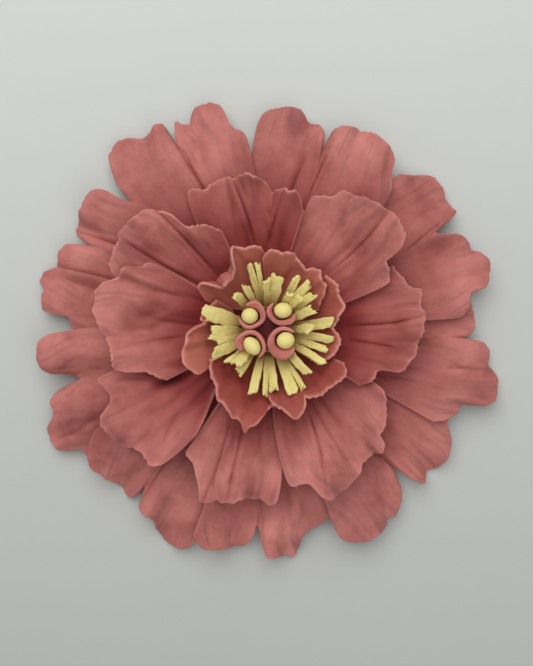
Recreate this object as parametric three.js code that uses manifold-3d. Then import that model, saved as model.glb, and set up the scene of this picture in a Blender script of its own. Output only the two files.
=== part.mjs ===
// A peony made of sheet foam, lying on its back as it would on a table or against a wall.
// Nine lobed outer petals, eight cupped middle petals and six inner petals are glued in three rings to a round
// backing disc. A plug in the middle carries two wound fringes of stamens and four curled carpels with a pistil each.
// Millimetres and degrees. +Z points out of the flower's face, and the origin is the middle of the disc's back.
import * as THREE from "three";
import { mergeVertices } from "three/addons/utils/BufferGeometryUtils.js";
import Module from "manifold-3d";

// Main sizes: how far the lobes of each ring of petals reach from the flower's axis, and how high each ring rises
const OUTER_REACH = 150;
const MIDDLE_REACH = 105;
const INNER_REACH = 50;
const OUTER_RISE = 9;
const MIDDLE_RISE = 28;
const INNER_RISE = 30;

// The sheet and the seams
const FOAM = 2; // thickness of the foam sheet
const GLUE_GAP = 0.3; // between two pieces that are glued to each other

// Backing disc and the plug in the middle
const DISC_RADIUS = 55;
const DISC_THICKNESS = 4;
const PLUG_RADIUS = 12.4;
const PLUG_HEIGHT = 25.7;
const PLUG_BOTTOM = DISC_THICKNESS + GLUE_GAP;
const PLUG_TOP = PLUG_BOTTOM + PLUG_HEIGHT;

// Petal rings
const NECK_SHARE = 0.62; // width of a petal's neck, as a share of its full angle
const NECK_END = 0.55; // where the neck reaches the full angle, along the petal
const STACK_SPARE = 0.15;
const STACK_ROOT = (FOAM + GLUE_GAP) / 2 + STACK_SPARE; // how far a side lies off its ring at the root
const FIRST_SEAT = PLUG_BOTTOM + STACK_ROOT + FOAM / 2;
const SEAT_STEP = 2 * STACK_ROOT + FOAM + 2 * GLUE_GAP;
const UPPER_BAND_RADIUS = PLUG_RADIUS + GLUE_GAP + FOAM / 2; // of the middle of the band
const LOWER_BAND_RADIUS = UPPER_BAND_RADIUS + FOAM + GLUE_GAP;
const ROOT_DISTANCE = LOWER_BAND_RADIUS + FOAM / 2 + 2 * GLUE_GAP;

// Stamen fringes: a band wound round the plug, cut into strips that lean outwards
const STAMEN_CLEARANCE = 10; // from the tips of the long strips to the inner petals' edges
const LOWER_STRIP_REACH = INNER_REACH - STAMEN_CLEARANCE;
const UPPER_STRIP_REACH = LOWER_STRIP_REACH - 10;
const LOWER_BAND_TOP = PLUG_TOP - 6;
const UPPER_BAND_TOP = PLUG_TOP + 1;
const LOWER_TIP_HEIGHT = LOWER_BAND_TOP + 19;
const UPPER_TIP_HEIGHT = UPPER_BAND_TOP + 17;
const STRIP_ROOT_WIDTH = 3.6;
const STRIP_RISE_OUT = 3; // how far out a strip leans before it bends over
const STRIP_SLANT = 1.2; // how much longer one corner of a cut end is

// Carpels: small petals curled into a cone, each round a teardrop pistil
const CARPEL_FOOT_RADIUS = 3; // of the middle of the sheet
const CARPEL_FOOT_DISTANCE = 7.8; // from the flower's axis
const CARPEL_LENGTH = 18;
const CARPEL_OPENING = 116; // of the cone's mouth, facing outwards
const PISTIL_RADIUS = 5.2;
const PISTIL_LENGTH = 19;

// Facets
const OUTLINE_SAMPLES = 240;
const DISC_SIDES = 32;
const PLUG_SIDES = 24;

const PINK = new THREE.MeshStandardMaterial({ color: "#b8615f", roughness: 0.85, metalness: 0 });
const YELLOW = new THREE.MeshStandardMaterial({ color: "#dfd178", roughness: 0.85, metalness: 0 });

// A ring's profile lists shares of the way from the petals' root to the ring's reach, and shares of its rise there.
// A petal's facets stand at its root, where its ring turns up, and in rows from there to its edge.
const OUTER_RING = {
  reach: OUTER_REACH,
  rise: OUTER_RISE,
  seat: FIRST_SEAT,
  profile: [[0, 0], [0.14, 0.06], [0.4, 0.67], [0.66, 1], [0.85, 0.83], [1.06, 0.4]],
  stackRim: 2.6,
  pitch: 40,
  bend: 0.18,
  rows: [0, 0.32, 0.6, 0.83, 1],
  columns: 16,
};
const MIDDLE_RING = {
  reach: MIDDLE_REACH,
  rise: MIDDLE_RISE,
  seat: FIRST_SEAT + SEAT_STEP,
  profile: [[0, 0], [0.165, 0.02], [0.46, 0.36], [0.76, 0.77], [1, 0.98], [1.18, 1.03]],
  stackRim: 3,
  pitch: 45,
  bend: 0.165,
  rows: [0, 0.32, 0.6, 0.83, 1],
  columns: 14,
};
const INNER_RING = {
  reach: INNER_REACH,
  rise: INNER_RISE,
  seat: FIRST_SEAT + 2 * SEAT_STEP,
  profile: [[0, 0], [0.23, 0.03], [0.475, 0.22], [0.72, 0.53], [0.91, 0.83], [1.06, 1.03], [1.3, 1.17], [1.55, 1.2]],
  stackRim: 2,
  pitch: 60,
  bend: 0.26,
  rows: [0, 0.24, 0.48, 0.74, 1],
  columns: 12,
};

// A petal is cut along an outline from its right side to its left one. Each point of it is an angle from the petal's
// middle and how far it passes the ring's reach. Its edge is lifted out of the ring at some angles, each lift with its
// width and height. Its sides lie over or under the neighbours.
const OVER = 1;
const UNDER = -1;
const OUTER_PETALS = [
  { at: 114, left: UNDER, right: OVER, lifts: [[5, 3, 3], [-8, 5, -3]],
    outline: [[-20, -68], [-17.5, -25.5], [-13.5, -16], [-12, -3], [-10, 1], [-7.5, 3], [-5, 1],
      [-2.5, -7], [-1, -5.5], [0, -2], [2.5, -16], [3.5, -0.5], [5.5, 0.5], [8.5, -1], [14.5, 7],
      [18, 4.5], [20.5, -4], [22.5, -16], [23.5, -29], [25, -37]] },
  { at: 73, left: UNDER, right: OVER, lifts: [[4, 3, -3], [-15, 5, 4]],
    outline: [[-21, -24.5], [-19.5, -10], [-17, -6.5], [-12.5, -4], [-8, -10], [-6.5, -8], [-4, -8.5],
      [-1.5, -15], [0, -29], [1.5, -14.5], [3.5, -11], [6, -11.5], [8.5, -7.5], [12, -5.5], [15, -6],
      [18, -9.5], [20, -17], [22, -34.5], [26, -67.5]] },
  { at: 28, left: UNDER, right: OVER, lifts: [[13, 7, -3], [-4, 4, -2], [-10, 3, 2], [-15, 3, -2], [-20, 5, 2]],
    outline: [[-25, -42.5], [-24.5, -26], [-22, -21], [-18, -18], [-17, -5], [-14.5, -1], [-11, 1.5],
      [-8.5, -1], [-7, -5], [-4.5, -3.5], [-2, -7], [2, -25.5], [4, -5], [8, -6.5], [11, -3], [14, -2],
      [19, -12], [22, -19], [22.5, -24.5], [29, -32.5]] },
  { at: -13, left: UNDER, right: OVER, lifts: [[0, 3, -3], [-5, 3, 2]],
    outline: [[-16.5, -28.5], [-13.5, -21], [-10.5, -16], [-8.5, -17], [-6, 0], [-4, 4], [0, 5.5],
      [2, 2], [3.5, -3], [6, -3.5], [9, -8], [10.5, -27], [11.5, -18.5], [14.5, -15.5], [21, -16.5]] },
  { at: -50, left: UNDER, right: OVER, lifts: [[16, 4, 2], [10, 4, -3], [4, 2, 2], [-5, 4, -2], [-12, 4, 2]],
    outline: [[-21, -46], [-17.5, -38], [-15, 1.5], [-11.5, 2], [-9, -0.5], [-7.5, -5.5], [-6, -3.5],
      [-3.5, -6.5], [-0.5, -13], [2, -29], [5.5, -7.5], [8, -9], [11.5, -5], [15, -6], [21, -15],
      [26, -28]] },
  { at: -89, left: UNDER, right: OVER, lifts: [[-16, 5, 2], [-9, 3, -3], [0, 3, 2], [5, 2, -2]],
    outline: [[-21, -10], [-19.5, -6], [-17.5, -4], [-15, -4.5], [-7.5, -8], [-6, -11], [-4, -23],
      [-1, -3], [3.5, -1], [5, 1.5], [7, -5.5], [8, -12], [10, -16], [17.5, -21], [23, -25]] },
  { at: -125, left: UNDER, right: OVER, lifts: [[-16, 4, 2], [-6, 3, -4], [9, 4, -2], [13, 3, 2]],
    outline: [[-17, -2], [-10.5, -8], [-8, -7.5], [-6, -4.5], [-4, -6.5], [-3, -20.5], [-0.5, -7.5],
      [4, -6], [6, 0.5], [10, 6], [15, 2.5], [16.5, -9.5], [17, -20.5], [20.5, -28.5]] },
  { at: -162, left: UNDER, right: OVER, lifts: [[-12, 5, 3], [-15, 4, -2], [2, 4, -2], [9, 4, 2]],
    outline: [[-22, -28.5], [-18, -22.5], [-17, -11.5], [-15.5, -2], [-14, 0.5], [-11, 1.5], [-8, 0],
      [-6.5, -6], [-6, -13.5], [-3, -23], [-1.5, -6.5], [0.5, -0.5], [2.5, -1], [4.5, 1], [6.5, 8],
      [9, 10], [12, 8.5], [15, -5], [19.5, -6.5], [25, -14.5]] },
  { at: 156, left: UNDER, right: OVER, lifts: [[-12, 4, 3], [-5, 2, -2], [12, 3, -3], [17, 3, 3]],
    outline: [[-22, -48.5], [-21, -40.5], [-17, -21.5], [-16.5, -13], [-15, -7], [-13.5, -5],
      [-5.5, -7.5], [-2.5, -9], [-1, -21], [1.5, -7], [4.5, -4.5], [7.5, -6], [10, 1.5], [12, 2],
      [14, -2], [19, -1.5], [20, -8.5], [20.5, -19], [23.5, -24.5], [25, -41.5]] },
];
const MIDDLE_PETALS = [
  { at: 97, left: UNDER, right: OVER, lifts: [[23, 2, 4], [14, 7, -2], [2, 8, 2], [-14, 6, 5]],
    outline: [[-24, -27], [-21, -20], [-18.5, -16], [-14.5, -16], [-11, -17], [-9, -19], [-4.5, -11.5],
      [-1.5, -8], [2.5, -7.5], [6, -9], [10.5, -8], [18, -10], [21, -7], [23.5, -6.5], [24.5, -9.5],
      [27, -26]] },
  { at: 47, left: UNDER, right: OVER, lifts: [[-6, 6, -2], [-13, 5, 4], [-20, 6, 2]],
    outline: [[-29, -59], [-27, -27], [-26, -23], [-22, -20], [-17.5, -18.5], [-15.5, -7], [-12, -1.5],
      [-6, 0.5], [2, -2], [7, -4], [8.5, -6.5], [12, -6.5], [15.5, -9], [17, -14], [21.5, -16],
      [24.5, -19], [25.5, -28.5], [29, -36.5]] },
  { at: 1, left: UNDER, right: OVER, lifts: [[21, 3, 3], [2, 5, 3], [-6, 5, -2], [-14, 5, 4]],
    outline: [[-31, -33], [-26.5, -28.5], [-22, -26.5], [-12, -13], [-8, -12], [-5, -12.5],
      [-2.5, -8.5], [2.5, -7], [8.5, -8.5], [13.5, -7.5], [15.5, -13], [26, -18.5]] },
  { at: -57, left: UNDER, right: OVER, lifts: [[10, 4, 3], [-3, 6, -2], [-12, 5, 2]],
    outline: [[-30, -51], [-27.5, -18.5], [-24.5, -6], [-20, -6], [-18, -4], [-15, 4.5], [-12, 6.5],
      [-8, 5.5], [-4.5, 3.5], [-0.5, 1], [3, -3.5], [7.5, -4], [10, -1], [12.5, -3.5], [13.5, -8],
      [18, -11.5], [28, -22.5], [30, -27.5], [31, -42]] },
  { at: -104, left: UNDER, right: UNDER, lifts: [[-12, 6, 3], [-5, 5, -3], [4, 5, 2], [14, 3, -3]],
    outline: [[-20, -12.5], [-16.5, -10.5], [-10, 1.5], [-7.5, 9.5], [-5, 10], [-2.5, 6], [1, 5.5],
      [8.5, 0], [11.5, 1], [14.5, 4.5], [16.5, 3], [19, -11], [21, -24.5], [26, -32.5]] },
  { at: -144, left: OVER, right: UNDER, lifts: [[-18, 3, 3], [13, 4, -3], [12, 5, 2]],
    outline: [[-22, -16.5], [-19.5, 5.5], [-16, 2.5], [-12.5, 1.5], [-10, 6], [-8, 12.5], [-5.5, 14],
      [2.5, 11.5], [5, 7], [9.5, 5], [13, 6], [15.5, 3.5], [20, -24]] },
  { at: 177, left: OVER, right: OVER, lifts: [[-19, 2, 5], [-7, 7, 2], [14, 5, 2], [21, 9, 3]],
    outline: [[-28, -43], [-26, -18.5], [-23, -16.5], [-20, -6.5], [-16.5, -6.5], [-12.5, 1.5],
      [-8.5, 4], [-4.5, 4], [10.5, -6], [15, -4.5], [18.5, -7.5], [21, -15], [22.5, -22.5],
      [26.5, -26.5], [30, -32.5]] },
  { at: 139, left: UNDER, right: OVER, lifts: [[16, 4, 3], [9, 4, -2], [2, 5, 2], [-4, 5, -3], [-13, 7, 3]],
    outline: [[-24, -36], [-20, -29.5], [-16.5, -25.5], [-8.5, -22], [-4, 0], [0, 2.5], [8.5, 5],
      [10.5, 3], [18, 1.5], [21, -1.5], [23, -8]] },
];
const INNER_PETALS = [
  { at: 122, left: UNDER, right: UNDER, lifts: [[12, 13, 6]],
    outline: [[-36, -8], [-29.5, -5], [-26.5, -1], [-22, 0.5], [-11, 0.5], [-7.5, 0], [-4.5, -2.5],
      [10.5, -7.5], [25.5, 0.5], [34, -7]] },
  { at: 58, left: OVER, right: OVER, lifts: [[-17, 10, -1]],
    outline: [[-38, -14.5], [-33, -11.5], [-17.5, -3.5], [-10, -2.5], [-0.5, -5.5], [9, -2.5],
      [16.5, 0], [21, -1], [27, 0.5], [32, -0.5], [37, -5]] },
  { at: 1, left: UNDER, right: OVER, lifts: [[3, 14, 4]],
    outline: [[-38, -14.5], [-28, -6.5], [-19.5, -3], [-12, -3.5], [-2, -6], [8.5, -3], [18, -2],
      [25, -2.5], [31.5, -1.5], [42, -4]] },
  { at: -58, left: UNDER, right: OVER, lifts: [[-13, 6, -3]],
    outline: [[-32, -7], [-31.5, -4], [-20.5, 2.5], [-14, 7], [-7.5, 4], [-3, -0.5], [22.5, 3.5],
      [28, 4], [34, -1]] },
  { at: -121, left: UNDER, right: OVER, lifts: [[19, 4, -4]],
    outline: [[-32, -7.5], [-25, -4.5], [-12.5, -1.5], [-5.5, 2.5], [1.5, 5], [14.5, 8.5], [18.5, 15],
      [20.5, 10], [24, 7.5], [28, 2.5], [31, -2.5], [36.5, -4], [37, -7]] },
  { at: -176, left: UNDER, right: OVER, lifts: [[-4, 10, 5]],
    outline: [[-34, -11], [-10, -5.5], [6.5, 3], [21, 4.5], [27.5, 1], [30, -1.5]] },
];

// Strips: bearing, how far the tip passes the fringe's reach, width at the tip.
const LOWER_STRIPS = [
  [5, 0, 7.6], [37, -5, 6.4], [49, -2, 5.6], [60, -3.5, 4.6], [98, -1, 3.8], [106, -2, 5], [134, -11, 6], [166, 0, 7.8],
  [185, -4, 9], [195, -7, 4.2], [205, -2.5, 7.6], [221, -7.5, 4.6], [236, -6.5, 6], [256, 1, 7.4], [267, 3, 3.6],
  [275, 0, 6.6], [292, 2.5, 7.4], [300, 3, 3.6], [331, 0, 6], [340, -0.5, 6], [349, 0, 6],
];
const UPPER_STRIPS = [
  [0, -3, 6.6], [23, 0, 6.6], [46, -2, 5.4], [57, -4, 4.4], [79, 2.5, 7.8], [92, 0, 5.6], [118, 0, 4.4], [228, 0, 6.8],
  [312, 6, 4.6],
];

// Carpels: bearing and distance of the mouth's middle, radius of its rim's outside.
const CARPELS = [
  [145, 14.2, 8.9], [51, 15, 9.6], [326, 13.2, 9.1], [227, 15, 9.7],
];

const wasm = await Module();
wasm.setup();

const { lerp, smoothstep, degToRad } = THREE.MathUtils;

// Slope at one of a row of [x, y] points, along the line between its neighbours
function easySlope(points, i) {
  const before = points[Math.max(i - 1, 0)];
  const after = points[Math.min(i + 1, points.length - 1)];
  return (after[1] - before[1]) / (after[0] - before[0]);
}

// The same, but level at peaks and valleys, so that a curve never passes its points
function tightSlope(points, i) {
  if (i === 0 || i === points.length - 1) return easySlope(points, i);
  const behind = (points[i][1] - points[i - 1][1]) / (points[i][0] - points[i - 1][0]);
  const ahead = (points[i + 1][1] - points[i][1]) / (points[i + 1][0] - points[i][0]);
  return behind * ahead > 0 ? (2 * behind * ahead) / (behind + ahead) : 0;
}

// A smooth curve through [x, y] points, carried on straight past its last one.
function curveThrough(points, x, slopeAt = easySlope) {
  let i = 0;
  while (i < points.length - 2 && x > points[i + 1][0]) i++;
  const [[x0, y0], [x1, y1]] = [points[i], points[i + 1]];
  const span = x1 - x0;
  const t = THREE.MathUtils.clamp((x - x0) / span, 0, 1);
  const beyond = (x - x0) / span - t;
  const eased = y0 * (1 + 2 * t) * (1 - t) ** 2 + y1 * t * t * (3 - 2 * t);
  const leaned = slopeAt(points, i) * span * t * (1 - t) ** 2 + slopeAt(points, i + 1) * span * t * t * (t - 1);
  return eased + leaned + slopeAt(points, t < 0.5 ? i : i + 1) * span * beyond;
}

function polar(distance, bearing, height) {
  const turn = degToRad(bearing);
  return new THREE.Vector3(distance * Math.cos(turn), distance * Math.sin(turn), height);
}

function ringRise(ring, distance) {
  const share = (distance - ROOT_DISTANCE) / (ring.reach - ROOT_DISTANCE);
  return ring.rise * curveThrough(ring.profile, share);
}

// A point of the bowl that a ring of petals lines, moved out of the bowl along its normal.
function bowlPoint(ring, distance, bearing, shift) {
  const step = 0.5;
  const slope = (ringRise(ring, distance + step) - ringRise(ring, distance - step)) / (2 * step);
  const lean = Math.hypot(1, slope);
  const height = ring.seat + ringRise(ring, distance) + shift / lean;
  return polar(distance - (shift * slope) / lean, bearing, height);
}

// Reach of a petal's cut edge at an angle from its middle
function edgeReach(ring, { outline }, angle) {
  return ring.reach + curveThrough(outline, angle, tightSlope);
}

// The angles across a petal that keep its outline best with the given number of facets.
function columnAngles(ring, shape) {
  const [first, last] = [shape.outline[0][0], shape.outline.at(-1)[0]];
  const angles = Array.from({ length: OUTLINE_SAMPLES + 1 }, (_, i) => lerp(first, last, i / OUTLINE_SAMPLES));
  const outline = angles.map((angle) => polar(edgeReach(ring, shape, angle), angle, 0));
  const spread = 0.12; // how much an even spread counts, against distance from the chord
  const kept = [0, OUTLINE_SAMPLES];
  while (kept.length <= ring.columns) {
    let best = { worth: -1 };
    for (let k = 1; k < kept.length; k++) {
      const [from, to] = [kept[k - 1], kept[k]];
      const chord = new THREE.Line3(outline[from], outline[to]);
      for (let i = from + 1; i < to; i++) {
        const nearest = chord.closestPointToPoint(outline[i], true, new THREE.Vector3());
        const worth = nearest.distanceTo(outline[i]) + spread * Math.min(i - from, to - i);
        if (worth > best.worth) best = { worth, i, k };
      }
    }
    kept.splice(best.k, 0, best.i);
  }
  return kept.map((i) => angles[i]);
}

// How far a petal's side lies over or under its ring, so that neighbours pass each other.
function stackShift(ring, petal, distance, angle) {
  const side = angle > 0 ? petal.left : petal.right;
  const share = smoothstep(Math.abs(angle), 0, 0.32 * ring.pitch);
  const along = smoothstep(distance, ROOT_DISTANCE, ring.reach);
  return side * share * lerp(STACK_ROOT, ring.stackRim, along);
}

// How far a petal's edge is lifted at an angle. Towards its sides it keeps only the lift that leads away from its
// neighbour.
function edgeLift(ring, petal, angle) {
  const side = angle > 0 ? petal.left : petal.right;
  const crowded = smoothstep(Math.abs(angle), 0.28 * ring.pitch, 0.44 * ring.pitch);
  let lift = 0;
  for (const [at, width, height] of petal.lifts) {
    const kept = height * side > 0 ? 1 : 1 - crowded;
    lift += height * kept * Math.exp(-(((angle - at) / width) ** 2));
  }
  return lift;
}

function petalPoint(ring, petal, distance, edge, angle) {
  const along = (distance - ROOT_DISTANCE) / (edge - ROOT_DISTANCE);
  const narrowed = angle * lerp(NECK_SHARE, 1, smoothstep(along, 0, NECK_END));
  const shift = stackShift(ring, petal, distance, narrowed) + edgeLift(ring, petal, angle) * along ** 2.5;
  return bowlPoint(ring, distance, petal.at + narrowed, shift);
}

// A closed sheet of even thickness whose middle passes through a grid of points. Columns run to the left of rows.
function sheet(grid, thickness) {
  const rows = grid.length;
  const columns = grid[0].length;
  const clampedAt = (r, c) => grid[Math.min(Math.max(r, 0), rows - 1)][Math.min(Math.max(c, 0), columns - 1)];
  const positions = [];
  for (const side of [thickness / 2, -thickness / 2])
    for (let r = 0; r < rows; r++)
      for (let c = 0; c < columns; c++) {
        const along = clampedAt(r + 1, c).clone().sub(clampedAt(r - 1, c));
        const across = clampedAt(r, c + 1).clone().sub(clampedAt(r, c - 1));
        const normal = along.cross(across).normalize();
        positions.push(...grid[r][c].clone().addScaledVector(normal, side).toArray());
      }
  const top = (r, c) => r * columns + c;
  const under = (r, c) => rows * columns + top(r, c);
  const faces = [];
  const quad = (a, b, c, d) => faces.push(a, b, c, a, c, d);
  for (let r = 0; r < rows - 1; r++)
    for (let c = 0; c < columns - 1; c++) {
      quad(top(r, c), top(r + 1, c), top(r + 1, c + 1), top(r, c + 1));
      quad(under(r, c), under(r, c + 1), under(r + 1, c + 1), under(r + 1, c));
    }
  for (let r = 0; r < rows - 1; r++) {
    quad(top(r, 0), under(r, 0), under(r + 1, 0), top(r + 1, 0));
    quad(top(r + 1, columns - 1), under(r + 1, columns - 1), under(r, columns - 1), top(r, columns - 1));
  }
  for (let c = 0; c < columns - 1; c++) {
    quad(top(0, c + 1), under(0, c + 1), under(0, c), top(0, c));
    quad(top(rows - 1, c), under(rows - 1, c), under(rows - 1, c + 1), top(rows - 1, c + 1));
  }
  const geometry = new THREE.BufferGeometry();
  geometry.setAttribute("position", new THREE.Float32BufferAttribute(positions, 3));
  geometry.setIndex(faces);
  geometry.computeVertexNormals();
  return geometry;
}

function petal(ring, shape) {
  const edges = columnAngles(ring, shape).map((angle) => [angle, edgeReach(ring, shape, angle)]);
  const bend = lerp(ROOT_DISTANCE, ring.reach, ring.bend);
  const root = edges.map(([angle, edge]) => petalPoint(ring, shape, ROOT_DISTANCE, edge, angle));
  const rows = ring.rows.map((share) =>
    edges.map(([angle, edge]) => petalPoint(ring, shape, lerp(bend, edge, share), edge, angle)),
  );
  return sheet([root, ...rows], FOAM);
}

// A round solid about +Z from a profile of [radius, height] points that starts and ends on the axis.
function turned(profile, sides) {
  const geometry = new THREE.LatheGeometry(profile.map(([r, z]) => new THREE.Vector2(r, z)), sides);
  return geometry.rotateX(Math.PI / 2);
}

function solidOf(geometry) {
  const bare = geometry.clone();
  bare.deleteAttribute("normal");
  bare.deleteAttribute("uv");
  const merged = mergeVertices(bare);
  const vertProperties = new Float32Array(merged.attributes.position.array);
  const triVerts = new Uint32Array(merged.index.array);
  return new wasm.Manifold(new wasm.Mesh({ numProp: 3, vertProperties, triVerts }));
}

function geometryOf(solid) {
  const mesh = solid.getMesh();
  const geometry = new THREE.BufferGeometry();
  geometry.setAttribute("position", new THREE.BufferAttribute(new Float32Array(mesh.vertProperties), 3));
  geometry.setIndex(new THREE.BufferAttribute(new Uint32Array(mesh.triVerts), 1));
  geometry.computeVertexNormals();
  return geometry;
}

// A band round the plug, from the disc up to where its strips begin.
function band(radius, top) {
  const [inside, outside] = [radius - FOAM / 2, radius + FOAM / 2];
  const [low, high] = [PLUG_BOTTOM, top];
  return turned([[inside, low], [outside, low], [outside, high], [inside, high], [inside, low]], PLUG_SIDES);
}

// One strip of a fringe: it grows out of the band, leans outwards and widens to its cut end.
function strip({ radius, top, reach, tipHeight }, [bearing, beyond, width], index) {
  const start = new THREE.Vector2(radius, top - FOAM);
  const bend = new THREE.Vector2(radius + STRIP_RISE_OUT, lerp(top, tipHeight, 0.45));
  const tip = new THREE.Vector2(reach + beyond, tipHeight);
  const path = new THREE.QuadraticBezierCurve(start, bend, tip);
  const slant = (index % 2 ? -1 : 1) * STRIP_SLANT;
  const outwards = polar(1, bearing, 0);
  const sideways = polar(1, bearing + 90, 0);
  const grid = [0, 0.5, 1].map((along) => {
    const middle = path.getPoint(along);
    return [-1, 1].map((side) => {
      const half = lerp(STRIP_ROOT_WIDTH, width, along) / 2;
      const longer = middle.x + side * slant * along ** 3;
      return outwards.clone().multiplyScalar(longer).addScaledVector(sideways, side * half).setZ(middle.y);
    });
  });
  return sheet(grid, FOAM);
}

function fringe(size, strips) {
  let joined = solidOf(band(size.radius, size.top));
  strips.forEach((row, i) => {
    joined = joined.add(solidOf(strip(size, row, i)));
  });
  return geometryOf(joined);
}

// A small petal curled into a cone about +Z, open towards +X, its rim lowest at the opening.
function carpelWrap(mouthRadius) {
  const rim = mouthRadius - FOAM / 2;
  const rows = [0, 0.4, 0.75, 1];
  const columns = 11;
  const grid = rows.map((along) =>
    Array.from({ length: columns }, (_, c) => {
      const angle = lerp(CARPEL_OPENING / 2, 360 - CARPEL_OPENING / 2, c / (columns - 1));
      const fromOpening = 1 - Math.abs(angle - 180) / 180;
      const height = CARPEL_LENGTH * lerp(0.74, 1, smoothstep(fromOpening, 0.2, 0.9));
      const flare = curveThrough([[0, CARPEL_FOOT_RADIUS], [0.5, lerp(CARPEL_FOOT_RADIUS, rim, 0.55)], [1, rim]], along);
      return polar(flare, -angle, height * along);
    }),
  );
  return sheet(grid, FOAM);
}

// A teardrop whose pointed foot stands in the cone.
function pistil() {
  const foot = CARPEL_FOOT_RADIUS - FOAM / 2 - GLUE_GAP;
  const centre = PISTIL_LENGTH - PISTIL_RADIUS;
  const round = [-50, -15, 20, 55].map((angle) => {
    const turn = degToRad(angle);
    return [PISTIL_RADIUS * Math.cos(turn), centre + PISTIL_RADIUS * Math.sin(turn)];
  });
  return turned([[0, 0], [foot, 0], [foot * 1.25, centre * 0.5], ...round, [0, PISTIL_LENGTH]], 10);
}

const flower = new THREE.Group();

function place(name, geometry, material, parent = flower) {
  const mesh = new THREE.Mesh(geometry, material);
  mesh.name = name;
  parent.add(mesh);
  return mesh;
}

const discProfile = [[0, 0], [DISC_RADIUS, 0], [DISC_RADIUS, DISC_THICKNESS], [0, DISC_THICKNESS]];
place("backing_disc", turned(discProfile, DISC_SIDES), PINK);

const plugProfile = [[0, PLUG_BOTTOM], [PLUG_RADIUS, PLUG_BOTTOM], [PLUG_RADIUS, PLUG_TOP], [0, PLUG_TOP]];
place("centre_plug", turned(plugProfile, PLUG_SIDES), PINK);

OUTER_PETALS.forEach((shape, i) => place(`outer_petal_${i + 1}`, petal(OUTER_RING, shape), PINK));
MIDDLE_PETALS.forEach((shape, i) => place(`middle_petal_${i + 1}`, petal(MIDDLE_RING, shape), PINK));
INNER_PETALS.forEach((shape, i) => place(`inner_petal_${i + 1}`, petal(INNER_RING, shape), PINK));

const lowerFringe = {
  radius: LOWER_BAND_RADIUS,
  top: LOWER_BAND_TOP,
  reach: LOWER_STRIP_REACH,
  tipHeight: LOWER_TIP_HEIGHT,
};
const upperFringe = {
  radius: UPPER_BAND_RADIUS,
  top: UPPER_BAND_TOP,
  reach: UPPER_STRIP_REACH,
  tipHeight: UPPER_TIP_HEIGHT,
};
place("stamen_fringe_lower", fringe(lowerFringe, LOWER_STRIPS), YELLOW);
place("stamen_fringe_upper", fringe(upperFringe, UPPER_STRIPS), YELLOW);

// Slides a piece along its own axis until its lowest corner is glued to the top of the plug.
function seatOnPlug(piece, lean) {
  piece.updateWorldMatrix(true, false);
  const lowest = new THREE.Box3().setFromObject(piece, true).min.z;
  piece.translateZ((PLUG_TOP + GLUE_GAP - lowest) / Math.cos(lean));
}

CARPELS.forEach(([bearing, distance, mouthRadius], i) => {
  const lean = Math.asin((distance - CARPEL_FOOT_DISTANCE) / CARPEL_LENGTH);
  const group = new THREE.Group();
  group.position.copy(polar(CARPEL_FOOT_DISTANCE, bearing, PLUG_TOP));
  group.rotation.set(0, lean, degToRad(bearing), "ZYX");
  flower.add(group);
  seatOnPlug(place(`carpel_${i + 1}`, carpelWrap(mouthRadius), PINK, group), lean);
  seatOnPlug(place(`pistil_${i + 1}`, pistil(), YELLOW, group), lean);
});

export default flower;
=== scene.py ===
"""A handmade peony of sheet foam, lying face up on a pale table.

Three rings of heat-shaped petals are glued to a round backing disc. A wound plug in the middle carries two
fringes of cut stamens and four small curled petals, each with an egg-shaped pistil.
Sizes are written in millimetres and degrees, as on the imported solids, and meshes are built in metres.
"""

import math

import bpy
import numpy as np
from mathutils import Euler, Matrix, Vector


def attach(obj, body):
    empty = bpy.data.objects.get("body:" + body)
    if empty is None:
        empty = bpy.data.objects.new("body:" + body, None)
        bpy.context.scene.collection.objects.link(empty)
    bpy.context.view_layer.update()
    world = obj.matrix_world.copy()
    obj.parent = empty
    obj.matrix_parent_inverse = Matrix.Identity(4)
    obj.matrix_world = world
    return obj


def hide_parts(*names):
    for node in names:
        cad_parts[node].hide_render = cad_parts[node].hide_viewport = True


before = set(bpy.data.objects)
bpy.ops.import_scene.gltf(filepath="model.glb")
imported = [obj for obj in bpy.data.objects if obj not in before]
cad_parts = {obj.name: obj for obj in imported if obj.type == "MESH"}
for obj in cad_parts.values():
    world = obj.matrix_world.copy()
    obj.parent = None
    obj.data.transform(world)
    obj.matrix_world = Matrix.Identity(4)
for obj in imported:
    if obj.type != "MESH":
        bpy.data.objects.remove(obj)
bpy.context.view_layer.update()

MM = 0.001

# Main sizes of the flower
OUTER_REACH = 150
MIDDLE_REACH = 105
INNER_REACH = 50
OUTER_RISE = 9
MIDDLE_RISE = 28
INNER_RISE = 30

# The sheet and the seams
FOAM = 2
GLUE_GAP = 0.3

# Backing disc and the plug in the middle
DISC_RADIUS = 55
DISC_THICKNESS = 4
PLUG_RADIUS = 12.4
PLUG_HEIGHT = 25.7
PLUG_BOTTOM = DISC_THICKNESS + GLUE_GAP
PLUG_TOP = PLUG_BOTTOM + PLUG_HEIGHT

# Petal rings
NECK = (0.62, 0.55)  # share of its width that a petal has at its root, and of its length on which it widens
STACK_SPARE = 0.15
STACK_ROOT = (FOAM + GLUE_GAP) / 2 + STACK_SPARE
FIRST_SEAT = PLUG_BOTTOM + STACK_ROOT + FOAM / 2
SEAT_STEP = 2 * STACK_ROOT + FOAM + 2 * GLUE_GAP
UPPER_BAND_RADIUS = PLUG_RADIUS + GLUE_GAP + FOAM / 2
LOWER_BAND_RADIUS = UPPER_BAND_RADIUS + FOAM + GLUE_GAP
ROOT_DISTANCE = LOWER_BAND_RADIUS + FOAM / 2 + 2 * GLUE_GAP

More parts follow.
